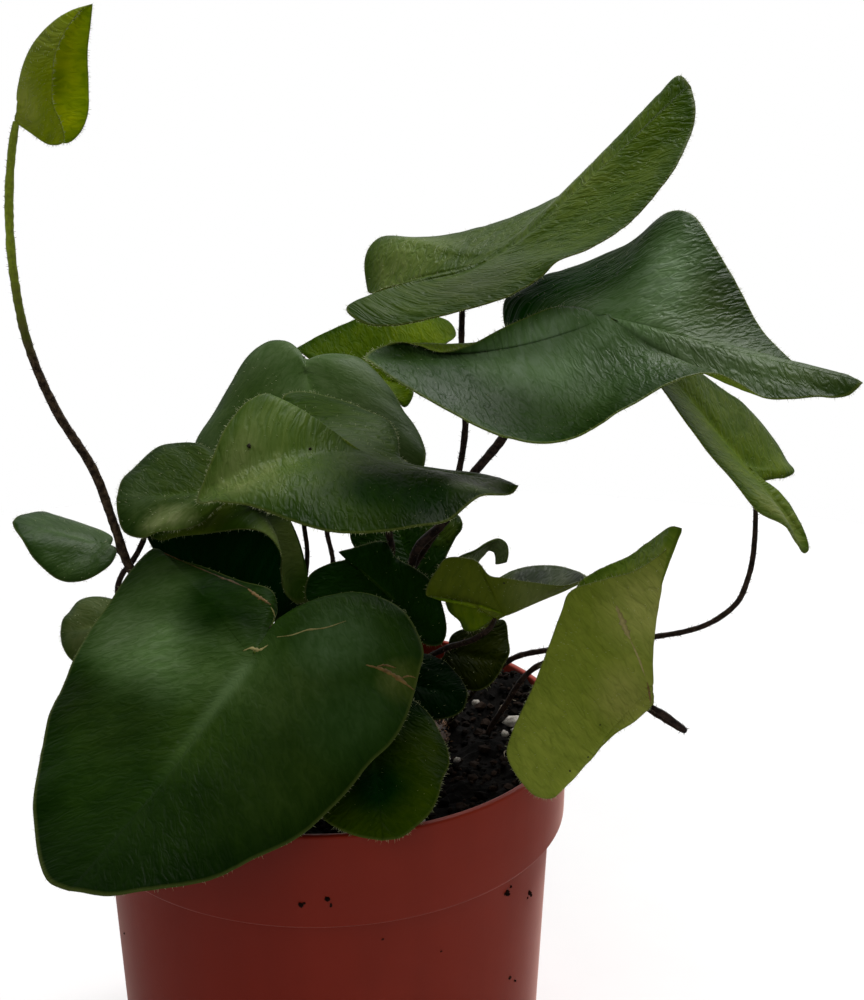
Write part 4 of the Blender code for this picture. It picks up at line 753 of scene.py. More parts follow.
def blade_surface(frond, look, seed):
    """The blade's middle surface with its relief, by ring and spoke, and what the shader needs."""
    spokes, rings = look["size"]
    margin, turn = blade_margin(frond, spokes)
    joint, tip = placed([frond["joint"], frond["tip"]])
    middle = 0.5 * (np.array(frond["joint"]) + np.array(frond["tip"]))
    rib_bow = place(*(middle + np.array(frond.get("rib_bow", (0, 0, 0))))) - place(*middle)
    hub = joint + HUB_SHARE * (tip - joint) + 4 * HUB_SHARE * (1 - HUB_SHARE) * rib_bow
    upper = unit(np.cross(margin - hub, np.roll(margin, -1, axis=0) - hub).sum(axis=0))
    bulge = np.where(turn < 1, *frond["bulge"]) * np.sin(np.pi * (turn % 1))
    near_rib = np.cos(0.5 * np.pi * np.minimum(np.abs(turn - 1), 1)) ** 4
    share = np.linspace(0, 1, rings + 1)
    grid = softened_fan(hub, margin, upper, bulge, rings, look["soft"])
    grid += rib_bow * near_rib[:, None] * (4 * share * (1 - share))[:, None, None]

    around = np.broadcast_to(np.arange(spokes) / spokes, grid.shape[:2])
    radial = np.broadcast_to(share[:, None], grid.shape[:2])
    rib_way = unit(tip - hub)
    forward = (grid - hub) @ rib_way
    aside = np.linalg.norm(grid - hub - forward[:, :, None] * rib_way, axis=2)
    rib = np.exp(-(aside / look["rib"]) ** 2) * smooth_step(-2, 3, forward)
    rib = rib * (np.abs(turn - 1) < 0.5) * (1 - smooth_step(0.5, 0.92, radial))
    perimeter = run_along(np.vstack([margin, margin[:1]]))[-1]
    ahead = (grid - joint) @ rib_way
    vein_start = ahead - VEIN_LEAN * aside + SIDES_APART * (turn > 1)
    relief = blade_relief(look["ridge"], seed, around, radial, vein_start, aside, perimeter)
    grid = grid + surface_normals(grid, upper) * (relief - RIB_DEPTH * rib)[:, :, None]
    along = np.clip((grid - joint) @ (tip - joint) / np.linalg.norm(tip - joint) ** 2, 0, 1)
    return dict(grid=grid, normals=surface_normals(grid, upper), perimeter=perimeter, around=around,
                radial=radial, rib=rib, along=along, vein_start=vein_start, vein_run=aside,
                ahead=ahead, aside=aside * np.where(turn > 1, -1, 1))


def mesh_object(name, points, faces):
    """A new mesh object from points in millimetres."""
    mesh = bpy.data.meshes.new(name)
    mesh.from_pydata((np.asarray(points) * MM).tolist(), [], faces)
    mesh.shade_smooth()
    piece = bpy.data.objects.new(name, mesh)
    bpy.context.scene.collection.objects.link(piece)
    return piece


def write_values(piece, name, values):
    attribute = piece.data.attributes.new(name, "FLOAT", "POINT")
    attribute.data.foreach_set("value", np.asarray(values, np.float32))


def write_map(piece, across, up):
    """Writes the map of the mesh's corners, and closes it where it comes round."""
    mesh = piece.data
    layer = mesh.uv_layers.new(name="map")
    corners = np.zeros(len(mesh.loops), int)
    mesh.loops.foreach_get("vertex_index", corners)
    starts = np.zeros(len(mesh.polygons), int)
    totals = np.zeros(len(mesh.polygons), int)
    mesh.polygons.foreach_get("loop_start", starts)
    mesh.polygons.foreach_get("loop_total", totals)
    owner = np.repeat(np.arange(len(starts)), totals)
    u = np.asarray(across)[corners]
    high = np.zeros(len(starts))
    low = np.ones(len(starts))
    np.maximum.at(high, owner, u)
    np.minimum.at(low, owner, u)
    wraps = (high - low > 0.5)[owner]
    u = np.where(wraps & (u < 0.5), u + 1, u)
    pairs = np.column_stack([u, np.asarray(up)[corners]])
    layer.data.foreach_set("uv", pairs.astype(np.float32).ravel())


def band(first, second, sides, flip=False):
    """The faces between two closed rings of points, numbered from first and from second."""
    faces = []
    for at in range(sides):
        after = (at + 1) % sides
        face = (first + at, second + at, second + after, first + after)
        faces.append(face[:1] + face[:0:-1] if flip else face)
    return faces


def fan(tip, first, sides, flip=False):
    """The faces between one point and a closed ring of points numbered from first."""
    faces = []
    for at in range(sides):
        here, after = first + at, first + (at + 1) % sides
        faces.append((tip, after, here) if flip else (tip, here, after))
    return faces


def joined(parts):
    """The points and faces of several parts as one."""
    points, faces, start = [], [], 0
    for more, sides in parts:
        points.append(more)
        faces += [tuple(start + corner for corner in side) for side in sides]
        start += len(more)
    return np.vstack(points), faces


def closed_blade(name, surface):
    """A blade of two faces and a rounded rim over its middle surface."""
    grid, normals = surface["grid"], surface["normals"]
    rings, spokes = grid.shape[0] - 1, grid.shape[1]
    thinning = RIM_THINNING * smooth_step(RIM_STARTS, 1.0, surface["radial"])
    half = 0.5 * BLADE_THICK * (1 - thinning)
    top = grid + normals * half[:, :, None]
    bottom = grid - normals * half[:, :, None]
    along_rim = np.roll(grid[-1], -1, axis=0) - np.roll(grid[-1], 1, axis=0)
    outward = unit(np.cross(along_rim, normals[-1]))
    edge = grid[-1] + EDGE_OUT * outward
    points = np.vstack([top[0, :1], top[1:].reshape(-1, 3), bottom[0, :1],
                        bottom[1:].reshape(-1, 3), edge])
    under = 1 + rings * spokes
    rim = 2 * under
    faces = fan(0, 1, spokes) + fan(under, under + 1, spokes, True)
    for inner in range(1, under - spokes, spokes):
        faces += band(inner, inner + spokes, spokes)
        faces += band(under + inner, under + inner + spokes, spokes, True)
    faces += band(under - spokes, rim, spokes) + band(rim, rim - spokes, spokes)
    blade = mesh_object(name + "_blade_fine", points, faces)

    def spread(values):
        one = np.concatenate([values[0, :1], values[1:].ravel()])
        return np.concatenate([one, one, values[-1]])

    for key in ("radial", "rib", "along", "vein_start", "vein_run", "ahead", "aside"):
        write_values(blade, key, spread(surface[key]))
    sides = [np.ones(under), np.zeros(under), np.full(spokes, 0.5)]
    write_values(blade, "upper", np.concatenate(sides))
    write_map(blade, spread(surface["around"]), spread(surface["radial"]))
    surface.update(top=top, bottom=bottom, edge=edge, outward=outward)
    return blade


def sheet_blade(name, centre, across, reach, upper_way):
    """The curled blade: a ribbon of two faces with a rounded rim, dished a little across."""
    steps, widths = len(centre), CURL_WIDTHS
    way = np.linspace(-1, 1, widths)
    dish = CURL_DISH * (way ** 2)[None, :, None] * upper_way[:, None, :]
    grid = centre[:, None, :] + across[:, None, :] * (way[None, :, None] * reach[:, None, None]) + dish
    normals = unit(np.cross(np.gradient(grid, axis=0), np.gradient(grid, axis=1)))
    half = 0.5 * BLADE_THICK * (1 - CURL_THINNING * np.abs(way) ** 6)[None, :, None]
    points = np.vstack([(grid + side * normals * half).reshape(-1, 3) for side in (1, -1)])
    count = steps * widths
    faces = []
    for step in range(steps - 1):
        for a in range(step * widths, step * widths + widths - 1):
            b = a + widths
            faces.append((a, b, b + 1, a + 1))
            faces.append((count + a, count + a + 1, count + b + 1, count + b))
    numbers = np.arange(count).reshape(steps, widths)
    border = [*numbers[0], *numbers[1:, -1], *numbers[-1, -2::-1], *numbers[-2:0:-1, 0]]
    for here, after in zip(border, border[1:] + border[:1]):
        faces.append((here, after, count + after, count + here))
    blade = mesh_object(name, points, faces)
    share = np.repeat(np.linspace(0, 1, steps), widths)
    radial = np.tile(np.abs(way), steps)
    values = dict(radial=radial, rib=np.exp(-(radial * 4) ** 2), along=share, vein_run=radial * 3,
                  vein_start=share * CURL_LENGTH, ahead=share * CURL_LENGTH, aside=radial * 3)
    for key, value in values.items():
        write_values(blade, key, np.tile(value, 2))
    write_values(blade, "upper", np.concatenate([np.ones(count), np.zeros(count)]))
    write_map(blade, np.tile(share * 0.4, 2), np.tile(radial, 2))
    return blade


def tube_faces(steps, sides):
    """The faces of a tube of rings of points, closed by one point at either end."""
    faces = fan(steps * sides, 0, sides, True) + fan(steps * sides + 1, (steps - 1) * sides, sides)
    for start in range(0, (steps - 1) * sides, sides):
        faces += band(start, start + sides, sides, True)
    return faces


def tube(route, radii, sides):
    """Points and faces of a closed tube along a route."""
    route = np.asarray(route, float)
    way = unit(np.gradient(route, axis=0))
    side = unit(np.cross(way[0], (0.31, 0.2, 0.93)))
    angle = FULL_TURN * np.arange(sides) / sides
    points = []
    for middle, ahead, radius in zip(route, way, radii):
        side = unit(side - ahead * (side @ ahead))
        other = np.cross(ahead, side)
        points.append(middle + radius * (np.cos(angle)[:, None] * side
                                         + np.sin(angle)[:, None] * other))
    points.append(route[:1] - way[:1] * radii[0] * 0.5)
    points.append(route[-1:] + way[-1:] * radii[-1] * 0.5)
    return np.vstack(points), tube_faces(len(route), sides)


def hair_mesh(name, roots, ways, lengths, radius):
    """Slim three-sided pyramids, one for each hair."""
    ways = unit(ways)
    side = unit(np.cross(ways, (0.3, 0.9, 0.31)))
    other = np.cross(ways, side)
    radius = np.broadcast_to(radius, len(roots))[:, None]
    corners = [roots + radius * (math.cos(angle) * side + math.sin(angle) * other)
               for angle in (0, FULL_TURN / 3, 2 * FULL_TURN / 3)]
    points = np.stack(corners + [roots + ways * lengths[:, None]], axis=1).reshape(-1, 3)
    faces = []
    for one in range(0, len(points), 4):
        faces += [(one, one + 1, one + 3), (one + 1, one + 2, one + 3), (one + 2, one, one + 3),
                  (one, one + 2, one + 1)]
    return mesh_object(name, points, faces)


class Nodes:
    """A node tree, and short ways to add to it."""

    def __init__(self, tree):
        self.tree = tree

    def put(self, socket, value):
        """Links the socket, or sets its value."""
        if isinstance(value, bpy.types.NodeSocket):
            self.tree.links.new(value, socket)
        elif socket.type == "RGBA":
            socket.default_value = (*value, 1)
        else:
            socket.default_value = value

    def add(self, kind, inputs, output=0, **settings):
        """Adds a node with its settings and inputs, and gives one of its outputs."""
        node = self.tree.nodes.new(kind)
        for key, value in settings.items():
            setattr(node, key, value)
        for socket, value in inputs.items():
            self.put(node.inputs[socket], value)
        return node.outputs[output]

    def ranged(self, value, low, high, to_low=0.0, to_high=1.0):
        """A value mapped from one range to another, and held there."""
        return self.add("ShaderNodeMapRange", {"Value": value, "From Min": low, "From Max": high,
                                               "To Min": to_low, "To Max": to_high})

    def times(self, first, second):
        return self.add("ShaderNodeMath", {0: first, 1: second}, operation="MULTIPLY")


class Paint(Nodes):
    """A material with one shader, and what its colour and relief are made of."""

    def __init__(self, name):
        self.material = bpy.data.materials.new(name)
        self.material.use_nodes = True
        super().__init__(self.material.node_tree)
        self.shader = self.tree.nodes["Principled BSDF"].inputs
        self.place = self.add("ShaderNodeTexCoord", {}, "Object")

    def value(self, name):
        """What the mesh says at each point."""
        return self.add("ShaderNodeAttribute", {}, "Fac", attribute_name=name)

    def noise(self, vector, scale, detail, roughness, distortion=0.0):
        return self.add("ShaderNodeTexNoise", {
            "Vector": vector, "Scale": scale, "Detail": detail, "Roughness": roughness,
            "Distortion": distortion}, "Fac")

    def drawn_out(self, vector, scale):
        return self.add("ShaderNodeMapping", {"Vector": vector, "Scale": scale})

    def mixed(self, share, low, high):
        """A colour between low and high, each a colour or a socket."""
        return self.add("ShaderNodeMix", {"Factor": share, 6: low, 7: high}, 2, data_type="RGBA",
                        clamp_factor=True)

    def scaled(self, colour, factor):
        """A colour made lighter or darker by a factor."""
        return self.add("ShaderNodeVectorMath", {0: colour, "Scale": factor}, operation="SCALE")

    def tinted(self, colour, share, low, high):
        """A colour multiplied by another that runs from low to high."""
        return self.add("ShaderNodeVectorMath", {0: colour, 1: self.mixed(share, low, high)},
                        operation="MULTIPLY")

    def relief(self, height, strength, distance, *under):
        """A bump, over the one under it if there is one."""
        inputs = {"Height": height, "Strength": strength, "Distance": distance}
        return self.add("ShaderNodeBump", inputs | dict(zip(["Normal"], under)))

    def finished(self, colour, rough, shine, normal):
        """The material, with its shader fed."""
        for name, value in (("Base Color", colour), ("Roughness", rough),
                            ("Specular IOR Level", shine), ("Normal", normal)):
            self.put(self.shader[name], value)
        return self.material


def shaded(colour, share, more=0.0):
    return tuple(share * part + more for part in colour)


def near_to(paint, ahead, aside, reach, mottle):
    """1 round a place given in millimetres from the joint, and 0 beyond a soft, mottled edge."""
    here = paint.add("ShaderNodeCombineXYZ", {"X": paint.value("ahead"), "Y": paint.value("aside")})
    gap = paint.add("ShaderNodeVectorMath", {0: here, 1: (ahead, aside, 0)}, "Value",
                    operation="DISTANCE")
    loose = paint.add("ShaderNodeMath", {0: mottle, 1: 0.5 * reach, 2: gap},
                      operation="MULTIPLY_ADD")
    return paint.ranged(loose, 0.65 * reach, 1.6 * reach, 1.0, 0.0)


def toned(paint, colour, tones, mottle):
    """Lays each tone over the colour round its place."""
    for *where, tone in tones:
        colour = paint.mixed(near_to(paint, *where, mottle), colour, seen(*tone))
    return colour


def dulled(paint, shine, places, mottle):
    """The shine, taken down round each place."""
    for where in places:
        share = near_to(paint, *where, mottle)
        shine = paint.times(shine, paint.ranged(share, 0.0, 1.0, 1.0, DULLED_SHINE))
    return shine


def leaf_material(name, look):
    """Leathery green: wrinkles along the veins with painted shade in their hollows and painted sheen on
    their crests, mottling partly painted as sheen, painted shade towards the margin, a pale rim and a pale
    midrib.
    """
    paint = Paint(name)
    radial, rib, along = (paint.value(key) for key in ("radial", "rib", "along"))
    veins = paint.add("ShaderNodeCombineXYZ", {"X": paint.value("vein_start"),
                                               "Y": paint.value("vein_run")})
    wrinkle = paint.noise(paint.drawn_out(veins, (0.8, 0.5, 1)), 1.0, 1.4, 0.4, 1.2)
    blotch = paint.noise(paint.drawn_out(veins, (0.30, 0.17, 1)), 1.0, 2.5, 0.55, 0.6)
    mottle = paint.noise(paint.place, 75.0, 4.0, 0.62)
    fine = paint.noise(paint.place, 900.0, 3.0, 0.7)
    cells = paint.add("ShaderNodeTexVoronoi", {"Vector": paint.drawn_out(veins, (0.75, 0.3, 1)),
                                               "Scale": 1.0, "Randomness": 0.9},
                      "Distance", feature="DISTANCE_TO_EDGE")
    net = paint.ranged(cells, 0.0, 0.10, 1.0, 0.0)
    blotched, wrinkle_shading = (paint.ranged(value, 0.36, 0.64) for value in (blotch, wrinkle))
    under = seen(*look["under"])

    face = paint.mixed(paint.ranged(along, 0.1, 0.9), seen(*look["near"]), seen(*look["far"]))
    face = toned(paint, face, look["tones"], mottle)
    # Painted sheen in the paler blotches; painted shade in the wrinkles' hollows and painted sheen on
    # their crests
    face = paint.tinted(face, blotched, MOTTLE_AND_SHADE_TINT, MOTTLE_AND_SHEEN_TINT)
    face = paint.tinted(face, wrinkle_shading, MOTTLE_AND_SHADE_TINT, WRINKLE_SHEEN_TINT)
    face = paint.scaled(face, paint.ranged(rib, 0.25, 1.0, 1.0, 1.25))
    if look["vein"]:
        paling = paint.times(paint.ranged(rib, 0.1, 0.9, 0.0, 0.5),
                             paint.ranged(along, 0.25, 0.62, 1.0, 0.0))
        face = paint.mixed(paling, face, seen(*look["vein"]))
    # Painted shade: each upper face darkens towards its margin
    margin_shade_from, margin_shade_tint = look["margin"]
    face = paint.tinted(face, paint.ranged(radial, margin_shade_from, 0.99), (1, 1, 1), margin_shade_tint)

    below = toned(paint, under, look["under_tones"], mottle)
    below = paint.tinted(below, blotched, *UNDER_BLOTCH)
    # Painted shade in the underside's wrinkle hollows and painted sheen on their crests
    below = paint.tinted(below, wrinkle_shading, *UNDER_WRINKLE_SHADE_AND_SHEEN)
    below = paint.scaled(below, paint.ranged(net, 0.3, 1.0, 1.0, 0.88))
    colour = paint.mixed(paint.ranged(paint.value("upper"), 0.35, 0.65), below, face)
    rim_colour = tuple(0.5 * (a + b) + 0.01 for a, b in zip(under, BROWN_EDGE))
    colour = paint.mixed(paint.ranged(radial, 0.985, 0.998, 0.0, 0.5), colour, rim_colour)
    bump = paint.relief(fine, 0.3, 0.00015, paint.relief(wrinkle, look["wrinkle"], 0.0010))
    return paint.finished(colour, paint.ranged(mottle, 0.35, 0.7, 0.36, 0.50),
                          dulled(paint, look["shine"], look["dull"], mottle), bump)


def grainy_material(name):
    """Two tones mixed by noise, with the same noise as its relief."""
    look = {**PLAIN_GRAIN, **GRAINY[name]}
    paint = Paint(name)
    noise = paint.noise(paint.place, look["scale"], 5.0, 0.65)
    colour = paint.mixed(paint.ranged(noise, 0.35, 0.65), look["low"], look["high"])
    rough = paint.ranged(noise, 0.3, 0.7, look["rough"] - 0.06, look["rough"] + 0.08)
    return paint.finished(colour, rough, look["shine"],
                          paint.relief(noise, look["bump"], look["depth"]))


def stipe_material(name, low, high, green_along=None, green=None):
    """Dark wiry stalk with scales in rows, which turns green towards the joint where it is young."""
    paint = Paint(name)
    noise = paint.noise(paint.place, 900.0, 4.0, 0.7)
    scales = paint.add("ShaderNodeTexVoronoi", {"Vector": paint.place, "Scale": 1300.0}, "Distance")
    colour = paint.mixed(paint.ranged(noise, 0.4, 0.64), low, high)
    if green:
        fresh = paint.mixed(paint.ranged(noise, 0.4, 0.65), green, shaded(green, 0.6))
        colour = paint.mixed(paint.ranged(paint.value("along"), *green_along), colour, fresh)
    return paint.finished(colour, paint.ranged(noise, 0.3, 0.7, 0.38, 0.55), 0.12,
                          paint.relief(scales, 0.5, 0.00015))


def pot_material():
    """Moulded red-brown plastic, satin, streaked and dusty, with painted light on its east side."""
    paint = Paint("pot_plastic")
    streak = paint.noise(paint.drawn_out(paint.place, (1, 1, 0.12)), 130.0, 4.0, 0.55)
    cloud = paint.noise(paint.place, 38.0, 5.0, 0.6)
    grain = paint.noise(paint.place, 1600.0, 2.0, 0.6)
    colour = paint.mixed(paint.ranged(streak, 0.4, 0.66, 0.0, 0.3), POT_COLOUR,
                         shaded(POT_COLOUR, 0.78))
    colour = paint.mixed(paint.ranged(cloud, 0.5, 0.72, 0.0, 0.3), colour,
                         shaded(POT_COLOUR, 1.25, 0.002))
    dust = paint.ranged(grain, 0.62, 0.78, 0.0, 0.2)
    colour = paint.mixed(dust, colour, shaded(POT_COLOUR, 1, 0.015))
    # Painted light: the colour lightens towards the east, as if lit from there
    east = paint.add("ShaderNodeSeparateXYZ", {0: paint.place}, "X")
    colour = paint.tinted(colour, paint.ranged(east, *EAST_LIGHT_SPAN), (1, 1, 1), EAST_LIGHT_TINT)
    for socket, value in (("Sheen Weight", 0.62), ("Sheen Roughness", 0.32),
                          ("Sheen Tint", (0.80, 0.52, 0.46))):
        paint.put(paint.shader[socket], value)
    bump = paint.relief(grain, 0.10, 0.0001, paint.relief(streak, 0.12, 0.0003))
    return paint.finished(colour, paint.ranged(cloud, 0.35, 0.7, 0.40, 0.54), 0.22, bump)


def soil_material(name):
    """Dark potting mix, each crumb with its own tone from the mesh."""
    low, high = SOILS[name]
    paint = Paint(name)
    noise = paint.noise(paint.place, 700.0, 5.0, 0.7)
    colour = paint.mixed(paint.value("tone"), low, high)
    colour = paint.mixed(paint.ranged(noise, 0.35, 0.65, 0.0, 0.6), colour, shaded(low, 0.5))
    return paint.finished(colour, paint.ranged(noise, 0.3, 0.7, 0.75, 0.95), 0.06,
                          paint.relief(noise, 0.6, 0.0005))


def dress(piece, material, slot, *nodes):
    """Gives a piece its material, hides the nodes that it stands for, and fixes it. slot is not used."""
    piece.data.materials.clear()
    piece.data.materials.append(material)
    if nodes:
        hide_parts(*nodes)
    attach(piece, "root")
    return piece


def stipe_line(frond, steps):
    """Points up from the foot in the soil to the joint itself."""
    foot = [(*frond["foot"], SOIL_TOP - STIPE_BURIED), (*frond["foot"], SOIL_TOP)]
    return spline(foot + list(placed(frond["stipe"][::-1] + [frond["joint"]])), steps)


def add_stipe(name, frond, materials, draw):
    """The stalk, knobbly with scales, running from its width at the foot to its width at the joint, and
    thinner just before the joint.
    """
    steps = int(run_along(stipe_line(frond, 60))[-1] / STIPE_STEP)
    route = stipe_line(frond, steps)
    share = np.linspace(0, 1, steps)
    foot_width, joint_width = frond["width"]
    radii = 0.5 * (foot_width + (joint_width - foot_width) * share)
    radii = radii * (1 + STIPE_UNEVEN * draw.uniform(-1, 1, steps))
    radii = radii * (1 - STIPE_END_THINNING * smooth_step(STIPE_END, 1, share))
    points, faces = tube(route, radii, STIPE_SIDES)
    knobs = 1 + STIPE_KNOBS * draw.uniform(-1, 1, (steps, STIPE_SIDES))
    body = points[:-2].reshape(steps, STIPE_SIDES, 3)
    body[:] = route[:, None] + (body - route[:, None]) * knobs[:, :, None]
    piece = mesh_object(name + "_stipe_fine", points, faces)
    write_values(piece, "along", np.concatenate([np.repeat(share, STIPE_SIDES), [0, 1]]))
    kind = "stipe_young" if name == "young" else "stipe"
    dress(piece, materials[kind], kind, name + "_stipe")
    return route, radii


def stipe_hairs(route, radii, draw, density):
    """Roots, ways and lengths of the scales that stand off a stalk above the soil."""
    run = run_along(route)
    count = int(run[-1] * density)
    at = draw.uniform(STIPE_HAIRS_FROM, run[-1], count)
    roots = interpolated(at, run, route)
    way = interpolated(at, run, unit(np.gradient(route, axis=0)))
    side = unit(np.cross(way, draw.normal(size=(count, 3))))
    leaning = side + way * draw.uniform(*STIPE_HAIR_LEAN, count)[:, None]
    roots = roots + side * np.interp(at, run, radii)[:, None] * 0.85
    return roots, leaning, draw.uniform(*STIPE_HAIR, count)


def margin_hairs(surface, density, draw):
    """Roots, ways and lengths of the fine hairs round a blade."""
    count = int(surface["perimeter"] * density)
    edge = surface["edge"]
    at = draw.integers(0, len(edge), count)
    share = draw.uniform(0, 1, count)[:, None]
    roots = edge[at] * (1 - share) + edge[(at + 1) % len(edge)] * share
    out = surface["outward"][at]
    normal = surface["normals"][-1][at]
    way = out + normal * draw.normal(0, 0.5, count)[:, None] + draw.normal(0, 0.25, (count, 3))
    return roots - out * 0.1, way, draw.uniform(*MARGIN_HAIR, count)


def face_hairs(surface, side, count, draw):
    """Hairs that stand on one face of a blade, leaning outward."""
    if not count:
        return np.zeros((0, 3)), np.zeros((0, 3)), np.zeros(0)
    grid = surface[side]
    ring = np.sqrt(draw.uniform(0.02, 1, count)) * (grid.shape[0] - 1)
    ring = np.minimum(ring.astype(int), grid.shape[0] - 2)
    spoke = draw.integers(0, grid.shape[1], count)
    out = unit(grid[ring + 1, spoke] - grid[ring, spoke])
    sign = 1 if side == "top" else -1
    way = sign * surface["normals"][ring, spoke] + out * 0.8 + draw.normal(0, 0.3, (count, 3))
    return grid[ring, spoke], way, draw.uniform(*FACE_HAIR, count)


def add_blades():
    """Every blade, with its surface kept for what is set on it."""
    surfaces = {}
    for index, (name, frond) in enumerate(FRONDS.items()):
        look = LOOKS[name]
        surfaces[name] = blade_surface(frond, look, 100 + 10 * index)
        blade = closed_blade(name, surfaces[name])
        slot = "blade_light" if name in LIGHT_BLADES else "blade"
        dress(blade, leaf_material(name + "_leaf", look), slot, name + "_blade")
    return surfaces


def add_curl():
    """The curled blade; gives the points of its two edges and their ways outward."""
    centre = spline(placed(CURL["centre"]), CURL_STEPS)
    start = np.array(CURL["centre"][0])
    across = unit(spline([place(*(start + np.array(way))) - place(*start) for way in CURL["across"]],
                         CURL_STEPS))
    share = np.linspace(*CURL_ENDS, CURL_STEPS)
    reach = CURL["half_width"] * np.sqrt(np.sin(np.pi * share))
    upper = unit(np.cross(np.gradient(centre, axis=0), across))
    blade = sheet_blade("curl_blade_fine", centre, across, reach, upper)
    dress(blade, leaf_material("curl_leaf", LOOKS["curl"]), "blade", "curl_blade")
    aside = across * reach[:, None]
    return np.vstack([centre - aside, centre + aside]), np.vstack([-across, across])


def add_hairs(surfaces, curl_edges, stipes, draw):
    """All the plant's hairs: pale ones on the blades, pale and brown scales on the stipes."""
    pale = []
    for name, surface in surfaces.items():
        look = LOOKS[name]
        pale.append(margin_hairs(surface, look["fringe"], draw))
        pale.append(face_hairs(surface, "top", look["up"], draw))
        pale.append(face_hairs(surface, "bottom", look["down"], draw))
    edges, outward = curl_edges
    chosen = draw.integers(0, len(edges), CURL_HAIRS)
    pale.append((edges[chosen], outward[chosen] + draw.normal(0, 0.4, (CURL_HAIRS, 3)),
                 draw.uniform(*CURL_HAIR, CURL_HAIRS)))
    hairs = hair_mesh("blade_hairs", *(np.concatenate(part) for part in zip(*pale)), HAIR_RADIUS)
    dress(hairs, grainy_material("pale_hair"), "blade_light")
    brown = [stipe_hairs(*stipe, draw, YOUNG_HAIRS_PER_MM if name == "young" else HAIRS_PER_MM)
             for name, stipe in stipes.items()]
    roots, ways, lengths = (np.concatenate(part) for part in zip(*brown))
    scales = hair_mesh("stipe_scales", roots, ways, lengths,
                       draw.uniform(*STIPE_HAIR_RADII, len(roots)))
    dress(scales, grainy_material("brown_scale"), "stipe")


def turned(profile, sides):
    """Points and faces of a profile, as (radius, height) from its top downward or outward."""
    points, starts = [], []
    for radius, height in profile:
        starts.append(len(points))
        for side in range(sides if radius else 1):
            angle = FULL_TURN * side / sides
            points.append((radius * math.cos(angle), radius * math.sin(angle), height))
    faces = []
    for above, below, first, second in zip(profile, profile[1:], starts, starts[1:]):
        if above[0] == 0:
            faces += fan(first, second, sides)
        elif below[0] == 0:
            faces += fan(second, first, sides, True)
        else:
            faces += band(first, second, sides)
    return points, faces


def rounded(before, corner, after, radius, steps=4):
    """Points of a round corner in a profile."""
    before, corner, after = (np.array(point, float) for point in (before, corner, after))
    to_before = (before - corner) / np.linalg.norm(before - corner)
    to_after = (after - corner) / np.linalg.norm(after - corner)
    start, end = corner + to_before * radius, corner + to_after * radius
    return [tuple((1 - s) ** 2 * start + 2 * s * (1 - s) * corner + s * s * end)
            for s in np.linspace(0, 1, steps + 1)]


def pot_outline():
    """From the inside of the floor up the inner wall, over the lip and down the outside."""
    ledge = POT_HEIGHT - RIM_DEPTH
    rim_inner = RIM_RADIUS - WALL
    corners = [
        ((BASE_RADIUS - WALL, FLOOR), 1.2),
        ((BODY_RADIUS - WALL, ledge - WALL), 0.8),
        ((rim_inner - RIM_TAPER, ledge + WALL), 0.8),
        ((rim_inner, POT_HEIGHT), 0.45),
        ((RIM_RADIUS, POT_HEIGHT), 0.6),
        ((RIM_RADIUS - RIM_TAPER, ledge), 0.6),
        ((BODY_RADIUS, ledge - 0.3), 0.7),
        ((BASE_RADIUS, 0), 1.1),
    ]
    places = [(0, FLOOR)] + [corner for corner, _ in corners] + [(0, 0)]
    line = [places[0]] + [(radius, FLOOR) for radius in FLOOR_RINGS]
    for index, (corner, radius) in enumerate(corners):
        line += rounded(places[index], corner, places[index + 2], radius)
    outline = []
    for here, after in zip(line, line[1:]):
        length = math.dist(here, after)
        upright = length > LONG_WALL and here[0] > FLOOR_RINGS[-1]
        pieces = int(length / WALL_STEP) if upright else 1
        outline += [(here[0] + (after[0] - here[0]) * piece / pieces,
                     here[1] + (after[1] - here[1]) * piece / pieces) for piece in range(pieces)]
    return outline + [(radius, 0) for radius in FLOOR_RINGS[::-1]] + [(0, 0)]


def drain_cutter():
    """The six upright rods that the pot's drain holes are cut with."""
    drains = bmesh.new()
    for hole in range(DRAIN_COUNT):
        angle = FULL_TURN * (hole + 0.5) / DRAIN_COUNT
        made = bmesh.ops.create_cone(
            drains, cap_ends=True, segments=32, radius1=DRAIN_RADIUS * MM,
            radius2=DRAIN_RADIUS * MM, depth=4 * FLOOR * MM)
        move = Vector((math.cos(angle), math.sin(angle), 0)) * DRAIN_CIRCLE * MM
        bmesh.ops.translate(drains, verts=made["verts"], vec=move)
    mesh = bpy.data.meshes.new("drains")
    drains.to_mesh(mesh)
    drains.free()
    cutter = bpy.data.objects.new("drains", mesh)
    bpy.context.scene.collection.objects.link(cutter)
    return cutter


def add_pot():
    pot = mesh_object("pot_fine", *turned(pot_outline(), POT_SIDES))
    cutter = drain_cutter()
    boolean = pot.modifiers.new("drains", "BOOLEAN")
    boolean.operation = "DIFFERENCE"
    boolean.object = cutter
    graph = bpy.context.evaluated_depsgraph_get()
    cut = bpy.data.meshes.new_from_object(pot.evaluated_get(graph))
    pot.modifiers.clear()
    pot.data = cut
    bpy.data.objects.remove(cutter)
    pot.data.set_sharp_from_angle(angle=SHARP_EDGE)
    dress(pot, pot_material(), "pot", "pot")


def soil_height(east, north):
    """Height of the soil's top over a point, with lumps that fade out towards the wall."""
    fade = np.maximum(0.0, 1 - (np.hypot(east, north) / (RIM_RADIUS - WALL)) ** 6)
    waves = np.sin(0.31 * east + 1.3) * np.sin(0.27 * north + 0.4)
    waves = waves + 0.6 * np.sin(0.62 * east - 0.51 * north) + 0.4 * np.sin(0.83 * north + 0.9)
    heap = HEAP_HEIGHT * np.exp(-((east - HEAP_PLACE[0]) ** 2 + (north - HEAP_PLACE[1]) ** 2)
                                / (2 * HEAP_REACH ** 2))
    return SOIL_TOP + SOIL_LUMP * fade * waves + heap


